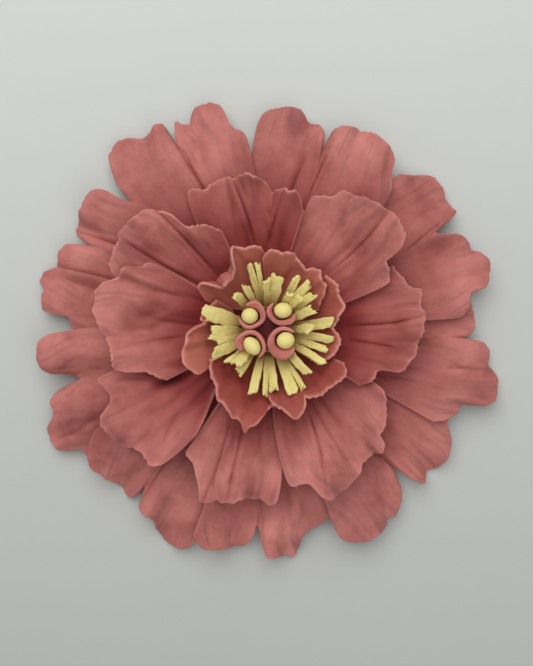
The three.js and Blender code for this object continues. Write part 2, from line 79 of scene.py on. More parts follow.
# Stamen fringes
STAMEN_CLEARANCE = 10
LOWER_STRIP_REACH = INNER_REACH - STAMEN_CLEARANCE
UPPER_STRIP_REACH = LOWER_STRIP_REACH - 10
LOWER_BAND_TOP = PLUG_TOP - 6
UPPER_BAND_TOP = PLUG_TOP + 1
LOWER_TIP_HEIGHT = LOWER_BAND_TOP + 19
UPPER_TIP_HEIGHT = UPPER_BAND_TOP + 17
STRIP_ROOT_WIDTH = 3.6
STRIP_RISE_OUT = 3
STRIP_SLANT = 1.2
STRIP_ROWS = 26
STRIP_COLUMNS = 13
STRIP_APART = 7.3  # step through the noise from one strip to the next
STRIP_BEND_RISE = 0.45  # share of the rise to its tip that a strip has made where it bends
STRIP_SAG = (-0.4, 1.6)  # how far a strip's sides hang below its middle
STRIP_SWAY = (-0.9, 0.9)  # how far its end stands aside
STRIP_TILT = (-2.2, 2.2)  # how much higher than its middle one side is
STRIP_RAGGED = 9  # how unevenly the ends are torn
STRIP_DROOP = 1.5  # how far a strip's end droops
STRIP_RIM = 0.4  # how far in from its cut edge a strip is rounded
STRIP_UNEVENNESS = 1.4
STRIP_LUMPS = 420.0  # scale of the lumps in its torn faces
BAND_ROUND = 0.4  # radius of a wound band's edges

# Carpels and pistils
CARPEL_FOOT_RADIUS = 3
CARPEL_FOOT_DISTANCE = 7.8
CARPEL_LENGTH = 18
CARPEL_LIP_SPARE = -0.2
CARPEL_PROFILE = [[0, 0], [0.6, 0.66], [0.74, 0.76], [1, 0.86]]  # share of its height along its length
CUP_TOP = 0.66  # share of its length at which a carpel's cup becomes a shelf
CARPEL_COLUMNS = 64
CARPEL_ROWS = 34
LIP_THICKNESS = 1.25  # of a carpel's rim, as a share of the foam's
LIP_RISE = 0.02  # how unevenly high the rim is, as a share of its height
LIP_RISE_WIDTH = 80
LIP_WANDER = 0.25  # how unevenly far out the rim is
LIP_WANDER_WIDTH = 70
SHELF_END = 0.25  # how far out a shelf reaches at its ends, as a share
SHELF_TAPER = 50  # angle over which it grows to its full reach
PISTIL_RADIUS = 5.2
PISTIL_LENGTH = 19
HEAD_LENGTH = 1.6  # of a pistil below its top, as a multiple of its radius
STRETCH_START = 1.3  # how far below its head's middle the stretch begins, likewise
PISTIL_SINK = 0.8  # how far a pistil sits down in its carpel, and out from the middle

# How a petal is cut and shaped
OVER = 1
UNDER = -1
RIM = 1.0  # how far in from a petal's cut edge the heat has rounded it
PALE_RIM = 1.6 * RIM  # how far in the paler cut shows, partly a painted highlight
RIM_STEPS = [0, 0.1, 0.35, 0.75, 1.25]  # distances of the last points from a cut edge
GRAIN_WIDTH = 3  # of a streak in the foam
GRAIN_LENGTH = 28
GRAIN_TWIST = 2.4  # how far a streak wanders aside
TWIST = 0.3  # length of its wandering, as a share of the reach
SHORT_WANDER = 4.5  # lengths of the waves in which a cut wanders
LONG_WANDER = 13
STIFF_ROOT = 4  # length past its root on which a petal doesn't swell
FULLY_LOOSE = 0.75  # share of the reach from which it swells as much as it can
DROOP_LENGTH = 5
FRILL_DEPTH = 5  # how far in from the edge a frill dies away
CURL_DEPTH = 0.42  # the same for a curl, as a share of its length
TABLE_SPARE = FOAM / 2 + 0.3  # height of a tip that lies on the table
SWELL = 0.34  # length of a petal's large swells, as a share of its reach
CRUMPLE = 0.22  # the same for its small swells
CRUMPLE_HEIGHT = 0.45  # of the small swells, as a share of the large ones'
LIFT_POWER = 2.5  # how late along the petal its edge begins to lift
CROWDED_LOOSE = 0.3  # how loose a petal still is where its neighbours lie
LOOSE_ROLL = 4  # radius of a rolled rim where no petal says otherwise
ROLL_BULGE = 0.2  # how far past its start a roll reaches out, as a share of its radius

# Creases, in degrees, millimetres and shares of a petal's length
CREASE_BEND = 1.8  # how far a crease wanders aside
CREASE_START_WIDTH = 1.3
FOLD_APART = 2  # how far a fold lies from its valley, as a multiple of the valley's width
FOLD_WIDTH = 1.3  # the same for its own width
FOLD_HEIGHT = 0.45  # of a fold, as a share of its valley's depth
MARKED_SPAN = (0.25, 1.2)  # of the creases that a petal's folds list
LONG_COUNT = (4, 7)
LONG_WIDTH = (2.4, 5.5)
LONG_DEPTH = (0.3, 0.9)
LONG_DRIFT = (-9, 9)
SHORT_COUNT = (9, 14)
SHORT_START = (0.3, 0.85)
SHORT_LENGTH = (0.12, 0.35)
SHORT_WIDTH = (1.2, 2.6)
SHORT_DEPTH = (0.2, 0.55)
SHORT_DRIFT = (-30, 30)

# Where petals pass each other, as shares of their ring's pitch: their sides part, then part further, and
# lifted and swollen edges make room
PARTED = 0.32
PART_MORE = (0.4, 0.65)
LIFT_CROWD = (0.28, 0.44)
SWELL_CROWD = (0.2, 0.4)

# A ring of petals. Its profile lists shares of the way from the root to the reach, and of the rise there.
# The pitch is the angle from petal to petal, and neighbours part by stack_rim at their rims. A petal's grid
# has columns and rows. Next come the heights of its swells, creases, curl, frill, wandering cut and drooping
# edge, and the lengths of its curl and frill. It is deep red at its root, partly a darker tone and partly
# painted shade, up to two distances between which the red fades, and tinted warm by a share, partly its own
# browner tone and partly a painted reflection of the yellow stamens. Its own lifts count so many times, and
# its cut rim is pale by a share, partly the paler cut and partly a painted highlight.
OUTER_RING = {
    "name": "outer",
    "reach": OUTER_REACH,
    "rise": OUTER_RISE,
    "seat": FIRST_SEAT,
    "profile": [[0, 0], [0.14, 0.06], [0.4, 0.67], [0.66, 1], [0.85, 0.83], [1.06, 0.4]],
    "stack_rim": 2.6,
    "pitch": 40,
    "columns": 150,
    "rows": 44,
    "swell": 2.2,
    "crease": 2.0,
    "curl": 2.6,
    "curl_length": 34,
    "frill": 0.55,
    "frill_length": 14,
    "wander": 0.3,
    "deep": (55, 142),
    "warm": 0,
    "droop": 1.7,
    "lift": 1.6,
    "rim": 0.5,
}
MIDDLE_RING = {
    "name": "middle",
    "reach": MIDDLE_REACH,
    "rise": MIDDLE_RISE,
    "seat": FIRST_SEAT + SEAT_STEP,
    "profile": [[0, 0], [0.165, 0.02], [0.46, 0.36], [0.76, 0.77], [1, 0.98], [1.18, 1.03]],
    "stack_rim": 3,
    "pitch": 45,
    "columns": 130,
    "rows": 40,
    "swell": 2.0,
    "crease": 1.9,
    "curl": 2.9,
    "curl_length": 26,
    "frill": 0.85,
    "frill_length": 11,
    "wander": 0.5,
    "deep": (32, 100),
    "warm": 0,
    "droop": 0.5,
    "lift": 1.3,
    "rim": 1.1,
}
INNER_RING = {
    "name": "inner",
    "reach": INNER_REACH,
    "rise": INNER_RISE,
    "seat": FIRST_SEAT + 2 * SEAT_STEP,
    "profile": [[0, 0], [0.23, 0.03], [0.475, 0.22], [0.72, 0.53], [0.91, 0.83], [1.06, 1.03], [1.3, 1.17],
      [1.55, 1.2]],
    "stack_rim": 2,
    "pitch": 60,
    "columns": 110,
    "rows": 36,
    "swell": 0.5,
    "crease": 0.5,
    "curl": 1.3,
    "curl_length": 16,
    "frill": 0.8,
    "frill_length": 8,
    "wander": 0.42,
    "deep": (14, 58),
    "warm": 1,
    "droop": 0.2,
    "lift": 1,
    "rim": 1.3,
}

# A petal stands at a bearing and is cut along an outline from its right side to its left one: angles from the
# petal's middle, and how far the cut passes the ring's reach. Folds are pressed in at angles, each with a
# drift and a depth. Lifts raise its edge out of the ring at angles, each with a width and a height. Rolls
# turn it back over the flower at angles, each with a width, a turn and a radius. A petal lies under its left
# neighbour and over its right one unless it says otherwise. A neck narrows its root to a share of its width,
# up to a share of its length, and its own distances for the deep red at its root, partly painted shade, take
# the place of the ring's.
OUTER_PETALS = [
    {
        "at": 114,
        "folds": [[2.5, 0, 1.3]],
        "lifts": [[5, 3, 3], [-8, 5, -3]],
        "outline": [[-20, -68], [-17.5, -25.5], [-13.5, -16], [-12, -3], [-10, 1], [-7.5, 3], [-5, 1],
          [-2.5, -7], [-1, -5.5], [0, -2], [2.5, -16], [3.5, -0.5], [5.5, 0.5], [8.5, -1], [14.5, 7],
          [18, 4.5], [20.5, -4], [22.5, -16], [23.5, -29], [25, -37]],
    },
    {
        "at": 73,
        "folds": [[0, -2, 0.7]],
        "lifts": [[4, 3, -3], [-15, 5, 4]],
        "outline": [[-27.5, -62], [-26.5, -45], [-25, -33.5], [-23.5, -28], [-21.3, -22], [-19.8, -14.5],
          [-18, -12.3], [-15.5, -10.8], [-11.5, -8.2], [-9.5, -8.8], [-8, -10.5], [-6.5, -9.3], [-4, -10],
          [-1.5, -15], [0, -29], [1.5, -14.5], [3.5, -11], [6, -11.5], [8.5, -7.5], [12, -5.5], [15, -6],
          [18, -9.5], [20, -17], [22, -34.5], [26, -67.5]],
    },
    {
        "at": 28,
        "lifts": [[13, 7, -3], [-4, 4, -2], [-10, 3, 2], [-15, 3, -2], [-20, 5, 2]],
        "outline": [[-25, -42.5], [-24.5, -27], [-22, -22], [-18, -19], [-17, -8], [-14.5, -3.7],
          [-11, -1.4], [-8.5, -4], [-6.8, -8.8], [-4.5, -7], [-2.5, -9.3], [2, -25.5], [4, -5], [8, -6],
          [11, -1.5], [14, -1.2], [19, -12], [22, -19], [22.5, -24.5], [29, -32.5]],
    },
    {
        "at": -13,
        "lifts": [[0, 3, -3], [-5, 3, 2]],
        "outline": [[-16.5, -28.5], [-13.5, -21], [-10.5, -16], [-8.5, -17], [-6, 0], [-4, 4], [0, 5.5],
          [2, 2], [3.5, -3], [6, -3.5], [9, -8], [10.5, -27], [11.5, -18.5], [14.5, -15.5], [21, -16.5]],
    },
    {
        "at": -50,
        "folds": [[2, 1, 0.8]],
        "lifts": [[16, 4, 2], [10, 4, -3], [4, 2, 2], [-5, 4, -2], [-12, 4, 2]],
        "outline": [[-21.8, -60], [-21.6, -25], [-21, -9], [-19.5, -4.5], [-17, -1.2], [-15, -0.2],
          [-11.5, 0.6], [-9, -1.2], [-7.5, -5.5], [-6, -3.5], [-3.5, -6.5], [-0.5, -13], [2, -29],
          [5.5, -7.5], [8, -9], [11.5, -5], [15, -6], [21, -15], [26, -28]],
    },
    {
        "at": -89,
        "lifts": [[-16, 5, 2], [-9, 3, -3], [0, 3, 2], [5, 2, -2]],
        "outline": [[-21, -10], [-19.5, -6], [-17.5, -4], [-15, -4.5], [-7.5, -8], [-6, -11], [-4, -23],
          [-1, -3], [3.5, -1], [5, 1.5], [7, -5.5], [8, -12], [10, -16], [17.5, -21], [23, -25]],
    },
    {
        "at": -125,
        "deep": (40, 96),
        "folds": [[-3, 0, 0.9]],
        "lifts": [[-21, 6, 2.5], [-6, 3, -4], [9, 4, -2], [13, 3, 2]],
        "outline": [[-26, -50], [-25.5, -31], [-24, -20], [-20.5, -11], [-17.5, -6.5], [-10.5, -8],
          [-8, -7.5], [-6, -4.5], [-4, -6.5], [-3, -20.5], [-0.5, -7.5], [4, -6], [6, 0.5], [10, 6],
          [15, 2.5], [16.5, -9.5], [17, -20.5], [20.5, -28.5]],
    },
    {
        "at": -162,
        "deep": (50, 126),
        "lifts": [[-12, 5, 3], [-15, 4, -2], [2, 4, -2], [6, 3, 1.5]],
        "outline": [[-19.5, -50], [-18.5, -36], [-17.3, -20], [-16.6, -10], [-15.5, -5], [-14, -2.4],
          [-11, -1.5], [-8, -2.8], [-6.5, -7.5], [-6, -13.5], [-3, -23], [-1.5, -6.5], [0.5, -0.5],
          [2.5, -1], [4.5, 1], [6.5, 8], [9, 10], [12, 8.5], [15, -5], [19.5, -6.5], [25, -14.5]],
    },
    {
        "at": 156,
        "folds": [[-9, 6, 0.9], [9, -3, 0.7]],
        "lifts": [[-12, 4, 3], [-5, 2, -2], [12, 3, -3], [17, 3, 3]],
        "outline": [[-22, -48.5], [-21, -40.5], [-17, -21.5], [-16.5, -14], [-15, -8.6], [-13.5, -7],
          [-9.5, -7.4], [-5.5, -9], [-2.5, -10], [-1, -21], [1.5, -7], [4.5, -4.5], [7.5, -5], [10, 3.5],
          [12, 4.3], [14, 0], [19, -1.5], [20, -8.5], [20.5, -19], [23.5, -23], [24.8, -29.5], [26, -45]],
    },
]
MIDDLE_PETALS = [
    {
        "at": 97,
        "deep": (36, 135),
        "folds": [[3, 3, 1.1], [-6, -8, 0.7]],
        "lifts": [[23, 2, 4], [14, 7, -2], [2, 8, 2], [-14, 6, 5]],
        "outline": [[-24, -27], [-21, -20], [-18.5, -16], [-14.5, -16], [-11, -17], [-9, -19],
          [-4.5, -11.5], [-1.5, -8], [2.5, -7.5], [6, -9], [10.5, -8], [18, -10], [21, -7], [23.5, -6.5],
          [24.5, -9.5], [27, -26]],
    },
    {
        "at": 47,
        "deep": (28, 84),
        "folds": [[-4, 2, 0.8], [8, 6, 0.6]],
        "lifts": [[-6, 6, -2], [-13, 5, 4], [-20, 6, 2]],
        "outline": [[-29, -59], [-27, -27], [-26, -23], [-22, -20], [-17.5, -18.5], [-15.5, -7],
          [-12, -1.5], [-6, 0.5], [2, -2], [7, -4], [8.5, -6.5], [12, -6.5], [15.5, -9], [17, -14],
          [21.5, -16], [24.5, -19], [25.5, -28.5], [29, -36.5]],
    },
    {
        "at": 1,
        "deep": (38, 122),
        "folds": [[2, 3, 0.8], [-8, -6, 0.7]],
        "lifts": [[21, 3, 3], [2, 5, 3], [-6, 5, -2], [-14, 5, 4]],
        "outline": [[-33, -37], [-28.5, -31], [-21.5, -29], [-19.5, -18], [-14, -12.4], [-9, -11.2],
          [-5, -10.5], [-2.5, -8.5], [2.5, -7], [8.5, -8.5], [13.5, -7.5], [15.5, -13], [26, -18.5]],
    },
    {
        "at": -57,
        "folds": [[-7, -10, 1], [-2, -4, 0.6]],
        "lifts": [[10, 4, 3], [-3, 6, -2], [-12, 5, 2]],
        "outline": [[-30, -51], [-27.5, -18.5], [-24.5, -6], [-20, -6], [-18, -4], [-15, 4.5], [-12, 6.5],
          [-8, 5.5], [-4.5, 3.5], [-0.5, 1], [3, -3.5], [7.5, -4], [10, -1], [12.5, -3.5], [13.5, -8],
          [18, -11.5], [28, -22.5], [30, -27.5], [31, -42]],
    },
    {
        "at": -104,
        "right": UNDER,
        "folds": [[3, -5, 0.8], [-8, 0, 0.6]],
        "lifts": [[-12, 6, 3], [-5, 5, -3], [4, 5, 2], [14, 3, -3]],
        "outline": [[-20, -12.5], [-16.5, -10.5], [-10, 1.5], [-7.5, 9.5], [-5, 10], [-2.5, 6], [1, 5.5],
          [8.5, 0], [11.5, 1], [14.5, 4.5], [16.5, 3], [19, -11], [21, -24.5], [26, -32.5]],
    },
    {
        "at": -144,
        "deep": (42, 130),
        "neck": (0.36, 1),
        "left": OVER,
        "right": UNDER,
        "lifts": [[-18, 3, 3], [13, 4, -3], [12, 5, 2]],
        "outline": [[-22, -16.5], [-19.5, 5.5], [-16, 2.5], [-12.5, 1.5], [-10, 6], [-8, 12.5], [-5.5, 14],
          [2.5, 11.5], [5, 7], [9.5, 5], [13, 6], [15.5, 3.5], [20, -24]],
    },
    {
        "at": 177,
        "left": OVER,
        "folds": [[8, 6, 0.7]],
        "lifts": [[-19, 2, 5], [-7, 7, 2], [14, 5, 2], [21, 9, 3]],
        "outline": [[-28, -43], [-26, -18.5], [-23, -16.5], [-20, -6.5], [-16.5, -6.5], [-12.5, 1.5],
          [-8.5, 4], [-4.5, 4], [10.5, -6], [15, -4.5], [18.5, -7.5], [21, -15], [22.5, -22.5],
          [26.5, -26.5], [30, -32.5]],
    },
    {
        "at": 139,
        "folds": [[-3.5, -4, 1.2], [6, 6, 0.8]],
        "lifts": [[16, 4, 1.5], [9, 4, -2], [2, 5, 2], [-4, 5, -3], [-13, 7, 3]],
        "outline": [[-24, -36], [-20, -29.5], [-16.5, -26], [-10.5, -21.5], [-8.6, -11.5], [-6.5, -6],
          [-3.5, 0.5], [0, 2.5], [8.5, 5], [10.5, 3], [18, 1.5], [21, -1.5], [23, -8]],
    },
]
INNER_PETALS = [
    {
        "at": 122,
        "deep": (10, 38),
        "right": UNDER,
        "lifts": [[12, 13, 1]],
        "rolls": [[7.5, 16.5, 116, 7.4]],
        "outline": [[-36, -8], [-29.5, -5], [-26.5, -1], [-22, 0.5], [-11, 0.8], [-7.5, -0.2], [-0.5, -4.5],
          [8.5, -7.5], [15, -9.3], [19.5, -5], [25.5, -2.3], [34, -9]],
    },
    {
        "at": 58,
        "deep": (10, 40),
        "left": OVER,
        "lifts": [[-17, 10, -1]],
        "outline": [[-38, -14.5], [-33, -11.5], [-17.5, -3.5], [-10, -2.5], [-0.5, -5.5], [9, -2.5],
          [16.5, 0], [21, -1], [27, 0.5], [32, -0.5], [37, -5]],
    },
    {
        "at": 1,
        "lifts": [[3, 14, 4]],
        "outline": [[-38, -14.5], [-28, -6.5], [-19.5, -3], [-12, -3.5], [-2, -6], [8.5, -3], [18, -2],
          [25, -2.5], [31.5, -1.5], [42, -4]],
    },
    {
        "at": -58,
        "deep": (20, 110),
        "lifts": [[-13, 6, -3]],
        "outline": [[-32, -7], [-31.5, -4], [-20.5, 2.5], [-14, 7], [-7.5, 4], [-3, -0.5], [22.5, 3.5],
          [28, 4], [34, -1]],
    },
    {
        "at": -121,
        "deep": (22, 116),
        "lifts": [[19, 4, -4]],
        "outline": [[-32, -7.5], [-25, -4.5], [-12.5, -1.5], [-5.5, 2.5], [1.5, 5], [14.5, 8.5], [18.5, 15],
          [20.5, 10], [24, 7.5], [28, 2.5], [31, -2.5], [36.5, -4], [37, -7]],
    },
    {
        "at": -176,
        "deep": (10, 42),
        "lifts": [[-4, 10, 4]],
        "rolls": [[-5, 7, 115, 3.2]],
        "outline": [[-34, -11], [-10, -5.5], [6.5, 3], [21, 4.5], [27.5, 1], [30, -1.5]],
    },
]
# Each strip's bearing, how far it passes its fringe's reach, and its width
LOWER_STRIPS = [
    [5, 0, 7.6], [37, -5, 6.4], [49, -2, 5.6], [60, -3.5, 4.6], [99, 0.5, 3.3], [106.5, 0.5, 3.9],
    [134, -11, 6], [165, 1, 11], [185, -4, 9], [195, -7, 4.2], [205, -2.5, 7.6], [221, -7.5, 4.6],
    [236, -6.5, 6], [256, 1, 6.6], [267, 1.5, 2.6], [275, -1, 5.8], [292, 2.5, 7.4], [300, 3, 3.6],
    [329, 0, 5], [340, -0.5, 4.8], [351, 0, 5],
]
UPPER_STRIPS = [
    [0, -3, 6.6], [23, 0, 6.6], [46, -2, 5.4], [57, -4, 4.4], [79, 2.5, 7.8], [92, 0, 4.6], [118, 0, 4.4],
    [228, 0, 6.8], [312, 6, 5.6],
]
# Each pistil's bearing, and the distance of its head from the middle
PISTILS = [[145, 14.2], [51, 15], [326, 13.2], [227, 15]]
# Each carpel's mouth: its bearing and distance from the middle, its reach in x and in y, how wide its side is
# open and the bearing that it opens to
CARPEL_MOUTHS = [
    [139, 13.9, 9.1, 8.8, 84, 154], [50, 15.2, 11, 9.8, 160, 64], [315, 13, 9.9, 10.4, 84, 4],
    [222.5, 15.4, 9.7, 9.6, 98, 254],
]
# How each pistil's head was rolled out: across and along a bearing
PISTIL_STRETCH = [[0.94, 0.98, 0], [0.92, 1.08, 0], [1, 1.08, 20], [0.9, 1.2, -50]]

# Lights, in watts, and where they stand
KEY_PLACE = Vector((-0.25, 0.78, 1.4))
KEY_SIZE = 1.8
KEY_POWER = 19
FILL_PLACE = Vector((0.5, -0.6, 1.4))
FILL_SIZE = 1.6
FILL_POWER = 5
SKY_STRENGTH = 0.28
SKY_COLOUR = (0.97, 0.98, 1, 1)

# The table, in metres
FLOOR_SIZE = 6.0
FLOOR_HEIGHT = -0.0002
FLOOR_SHADE_DEPTH = 0.56  # depth of table over which a painted light falloff darkens it towards the front

# The camera looks straight down from as far as the photograph was taken
CAMERA_PLACE = Vector((-0.001, -0.0026, 0.62))
CAMERA_LENS = 50.8
SENSOR_WIDTH = 36


def mix(low, high, share):
    return low + (high - low) * share


def smooth(value, low, high):
    share = np.clip((value - low) / (high - low), 0, 1)
    return share * share * (3 - 2 * share)


def easy_slopes(xs, ys):
    """Slopes along the lines between a curve's neighbouring points."""
    count = len(xs)
    before = np.maximum(np.arange(count) - 1, 0)
    after = np.minimum(np.arange(count) + 1, count - 1)
    return (ys[after] - ys[before]) / (xs[after] - xs[before])


def tight_slopes(xs, ys):
    """The same, but level at peaks and valleys, so that a curve never passes its points."""
    slopes = easy_slopes(xs, ys)
    steps = np.diff(ys) / np.diff(xs)
    behind, ahead = steps[:-1], steps[1:]
    same_way = behind * ahead > 0
    slopes[1:-1] = np.where(same_way, 2 * behind * ahead / np.where(same_way, behind + ahead, 1), 0)
    return slopes


def curve_through(points, x, slopes_of=easy_slopes):
    """A smooth curve through [x, y] points, carried on straight past its ends."""
    xs, ys = np.array(points, float).T
    slopes = slopes_of(xs, ys)
    i = np.searchsorted(xs[1:-1], x, side="left")
    span = xs[i + 1] - xs[i]
    t = np.clip((x - xs[i]) / span, 0, 1)
    beyond = (x - xs[i]) / span - t
    eased = ys[i] * (1 + 2 * t) * (1 - t) ** 2 + ys[i + 1] * t * t * (3 - 2 * t)
    leaned = slopes[i] * span * t * (1 - t) ** 2 + slopes[i + 1] * span * t * t * (t - 1)
    return eased + leaned + np.where(t < 0.5, slopes[i], slopes[i + 1]) * span * beyond


def wave(draws, positions, length, terms=3):
    """An uneven wave of about one unit's height and the given length, its parts drawn at random."""
    total = np.zeros_like(positions)
    for _ in range(terms):
        stretch = draws.uniform(0.7, 1.5)
        total += np.sin(math.tau * positions / (length * stretch) + draws.uniform(0, math.tau))
    return total / math.sqrt(terms)


def swells(draws, x, y, length, terms=5):
    """Uneven low swells of about one unit's height all over a surface."""
    total = np.zeros_like(x)
    for _ in range(terms):
        turn = draws.uniform(0, math.tau)
        stretch = draws.uniform(0.7, 1.4) * length
        across = x * math.cos(turn) + y * math.sin(turn)
        aside = x * math.sin(turn) - y * math.cos(turn)
        bend = np.sin(aside / stretch * 4)
        total += np.sin(math.tau * across / stretch + bend + draws.uniform(0, math.tau))
    return total / math.sqrt(terms)


def polar(distance, bearing, height):
    turn = np.radians(bearing)
    return np.stack(np.broadcast_arrays(distance * np.cos(turn), distance * np.sin(turn), height), axis=-1)


def ring_rise(ring, distance):
    share = (distance - ROOT_DISTANCE) / (ring["reach"] - ROOT_DISTANCE)
    return ring["rise"] * curve_through(ring["profile"], share)


def bowl_point(ring, distance, bearing, shift, start, radius):
    """A point of the bowl that a ring of petals lines, moved out of the bowl along its normal.

    Beyond a start, the sheet is rolled back over the flower about the given radius.
    """
    step = 0.5
    kept = np.minimum(distance, start)
    turn = (distance - kept) / radius
    slope = (ring_rise(ring, kept + step) - ring_rise(ring, kept - step)) / (2 * step)
    lean = np.hypot(1, slope)
    onward = radius * np.sin(turn) - shift * np.sin(turn)
    upward = radius * (1 - np.cos(turn)) + shift * np.cos(turn)
    height = ring["seat"] + ring_rise(ring, kept) + (onward * slope + upward) / lean
    return polar(kept + (onward - upward * slope) / lean, bearing, height)


def edge_reach(ring, petal, angle):
    """Reach of a petal's cut edge at angles from its middle."""
    return ring["reach"] + curve_through(petal["outline"], angle, tight_slopes)


def towards_side(ring, angle, shares):
    """Grows from nothing to one between two angles from a petal's middle, as shares of its ring's pitch."""
    low, high = shares
    return smooth(np.abs(angle), low * ring["pitch"], high * ring["pitch"])


def side_of(petal, angle):
    """Whether a petal lies over or under its neighbour on the side that an angle is on."""
    return np.where(angle > 0, petal.get("left", UNDER), petal.get("right", OVER))


def stack_shift(ring, petal, distance, angle):
    """How far a petal's side lies over or under its ring, so that neighbours pass each other."""
    share = towards_side(ring, angle, (0, PARTED)) + 0.5 * towards_side(ring, angle, PART_MORE)
    along = smooth(distance, ROOT_DISTANCE, ring["reach"])
    return side_of(petal, angle) * share * mix(STACK_ROOT, ring["stack_rim"], along)


def edge_lift(ring, petal, angle):
    """How far a petal's edge is lifted. At its sides it keeps only what leads away from its neighbour."""
    side = side_of(petal, angle)
    crowded = towards_side(ring, angle, LIFT_CROWD)
    lift = 0
    for at, width, height in petal["lifts"]:
        kept = np.where(height * side > 0, 1, 1 - crowded)
        lift = lift + height * kept * np.exp(-(((angle - at) / width) ** 2))
    return lift


def edge_roll(petal, angle):
    """How far a petal's edge is rolled back, in radians, and about what radius."""
    turn = np.zeros_like(angle)
    radius = np.full_like(angle, LOOSE_ROLL)
    for at, width, degrees, size in petal.get("rolls", []):
        share = np.exp(-(((angle - at) / width) ** 4))
        turn = turn + math.radians(degrees) * share
        radius = mix(radius, size, np.minimum(share * 8, 1))
    return turn, radius


def crease(draws, at, drift, span, width, along, angle, distance):
    """One crease pressed into a petal: a valley with a low fold along one side of it."""
    start, end = span
    bend = CREASE_BEND * np.sin(4 * along + at)
    apart = np.radians(angle - at - drift * (along - start) - bend) * distance
    fold_side = draws.choice([-1, 1])
    valley = np.exp(-((apart / width) ** 2))
    fold = np.exp(-(((apart - fold_side * FOLD_APART * width) / (FOLD_WIDTH * width)) ** 2))
    kept = smooth(along, start, mix(start, end, 0.35)) * (1 - smooth(along, mix(start, end, 0.55), end))
    return (valley - FOLD_HEIGHT * fold) * kept


def creases(draws, petal, along, angle, distance):
    """How deep a petal is creased by the thumb that shaped it: its folds, long creases and short ones."""
    first, last = petal["outline"][0][0], petal["outline"][-1][0]
    where = (along, angle, distance)
    depth = np.zeros_like(along)
    for at, drift, amount in petal.get("folds", []):
        depth += amount * crease(draws, at, drift, MARKED_SPAN, CREASE_START_WIDTH, *where)
    long_count = int(draws.integers(*LONG_COUNT))
    for i in range(long_count):
        at = mix(first, last, (i + 0.5 + draws.uniform(-0.35, 0.35)) / long_count)
        span = (draws.uniform(0.0, 0.2), draws.uniform(0.7, 1.1))
        width = mix(CREASE_START_WIDTH, draws.uniform(*LONG_WIDTH), along)
        amount = draws.uniform(*LONG_DEPTH)
        depth += amount * crease(draws, at, draws.uniform(*LONG_DRIFT), span, width, *where)
    for _ in range(int(draws.integers(*SHORT_COUNT))):
        start = draws.uniform(*SHORT_START)
        span = (start, start + draws.uniform(*SHORT_LENGTH))
        at = draws.uniform(first, last)
        width = draws.uniform(*SHORT_WIDTH)
        amount = draws.uniform(*SHORT_DEPTH)
        depth += amount * crease(draws, at, draws.uniform(*SHORT_DRIFT), span, width, *where)
    return depth


def rounding(*distances):
    """Share of the foam's full thickness that is left so far from its cut edges."""
    nearest = np.clip(np.minimum.reduce(distances) / RIM, 0, 1)
    return np.sqrt(1 - (1 - nearest) ** 2)


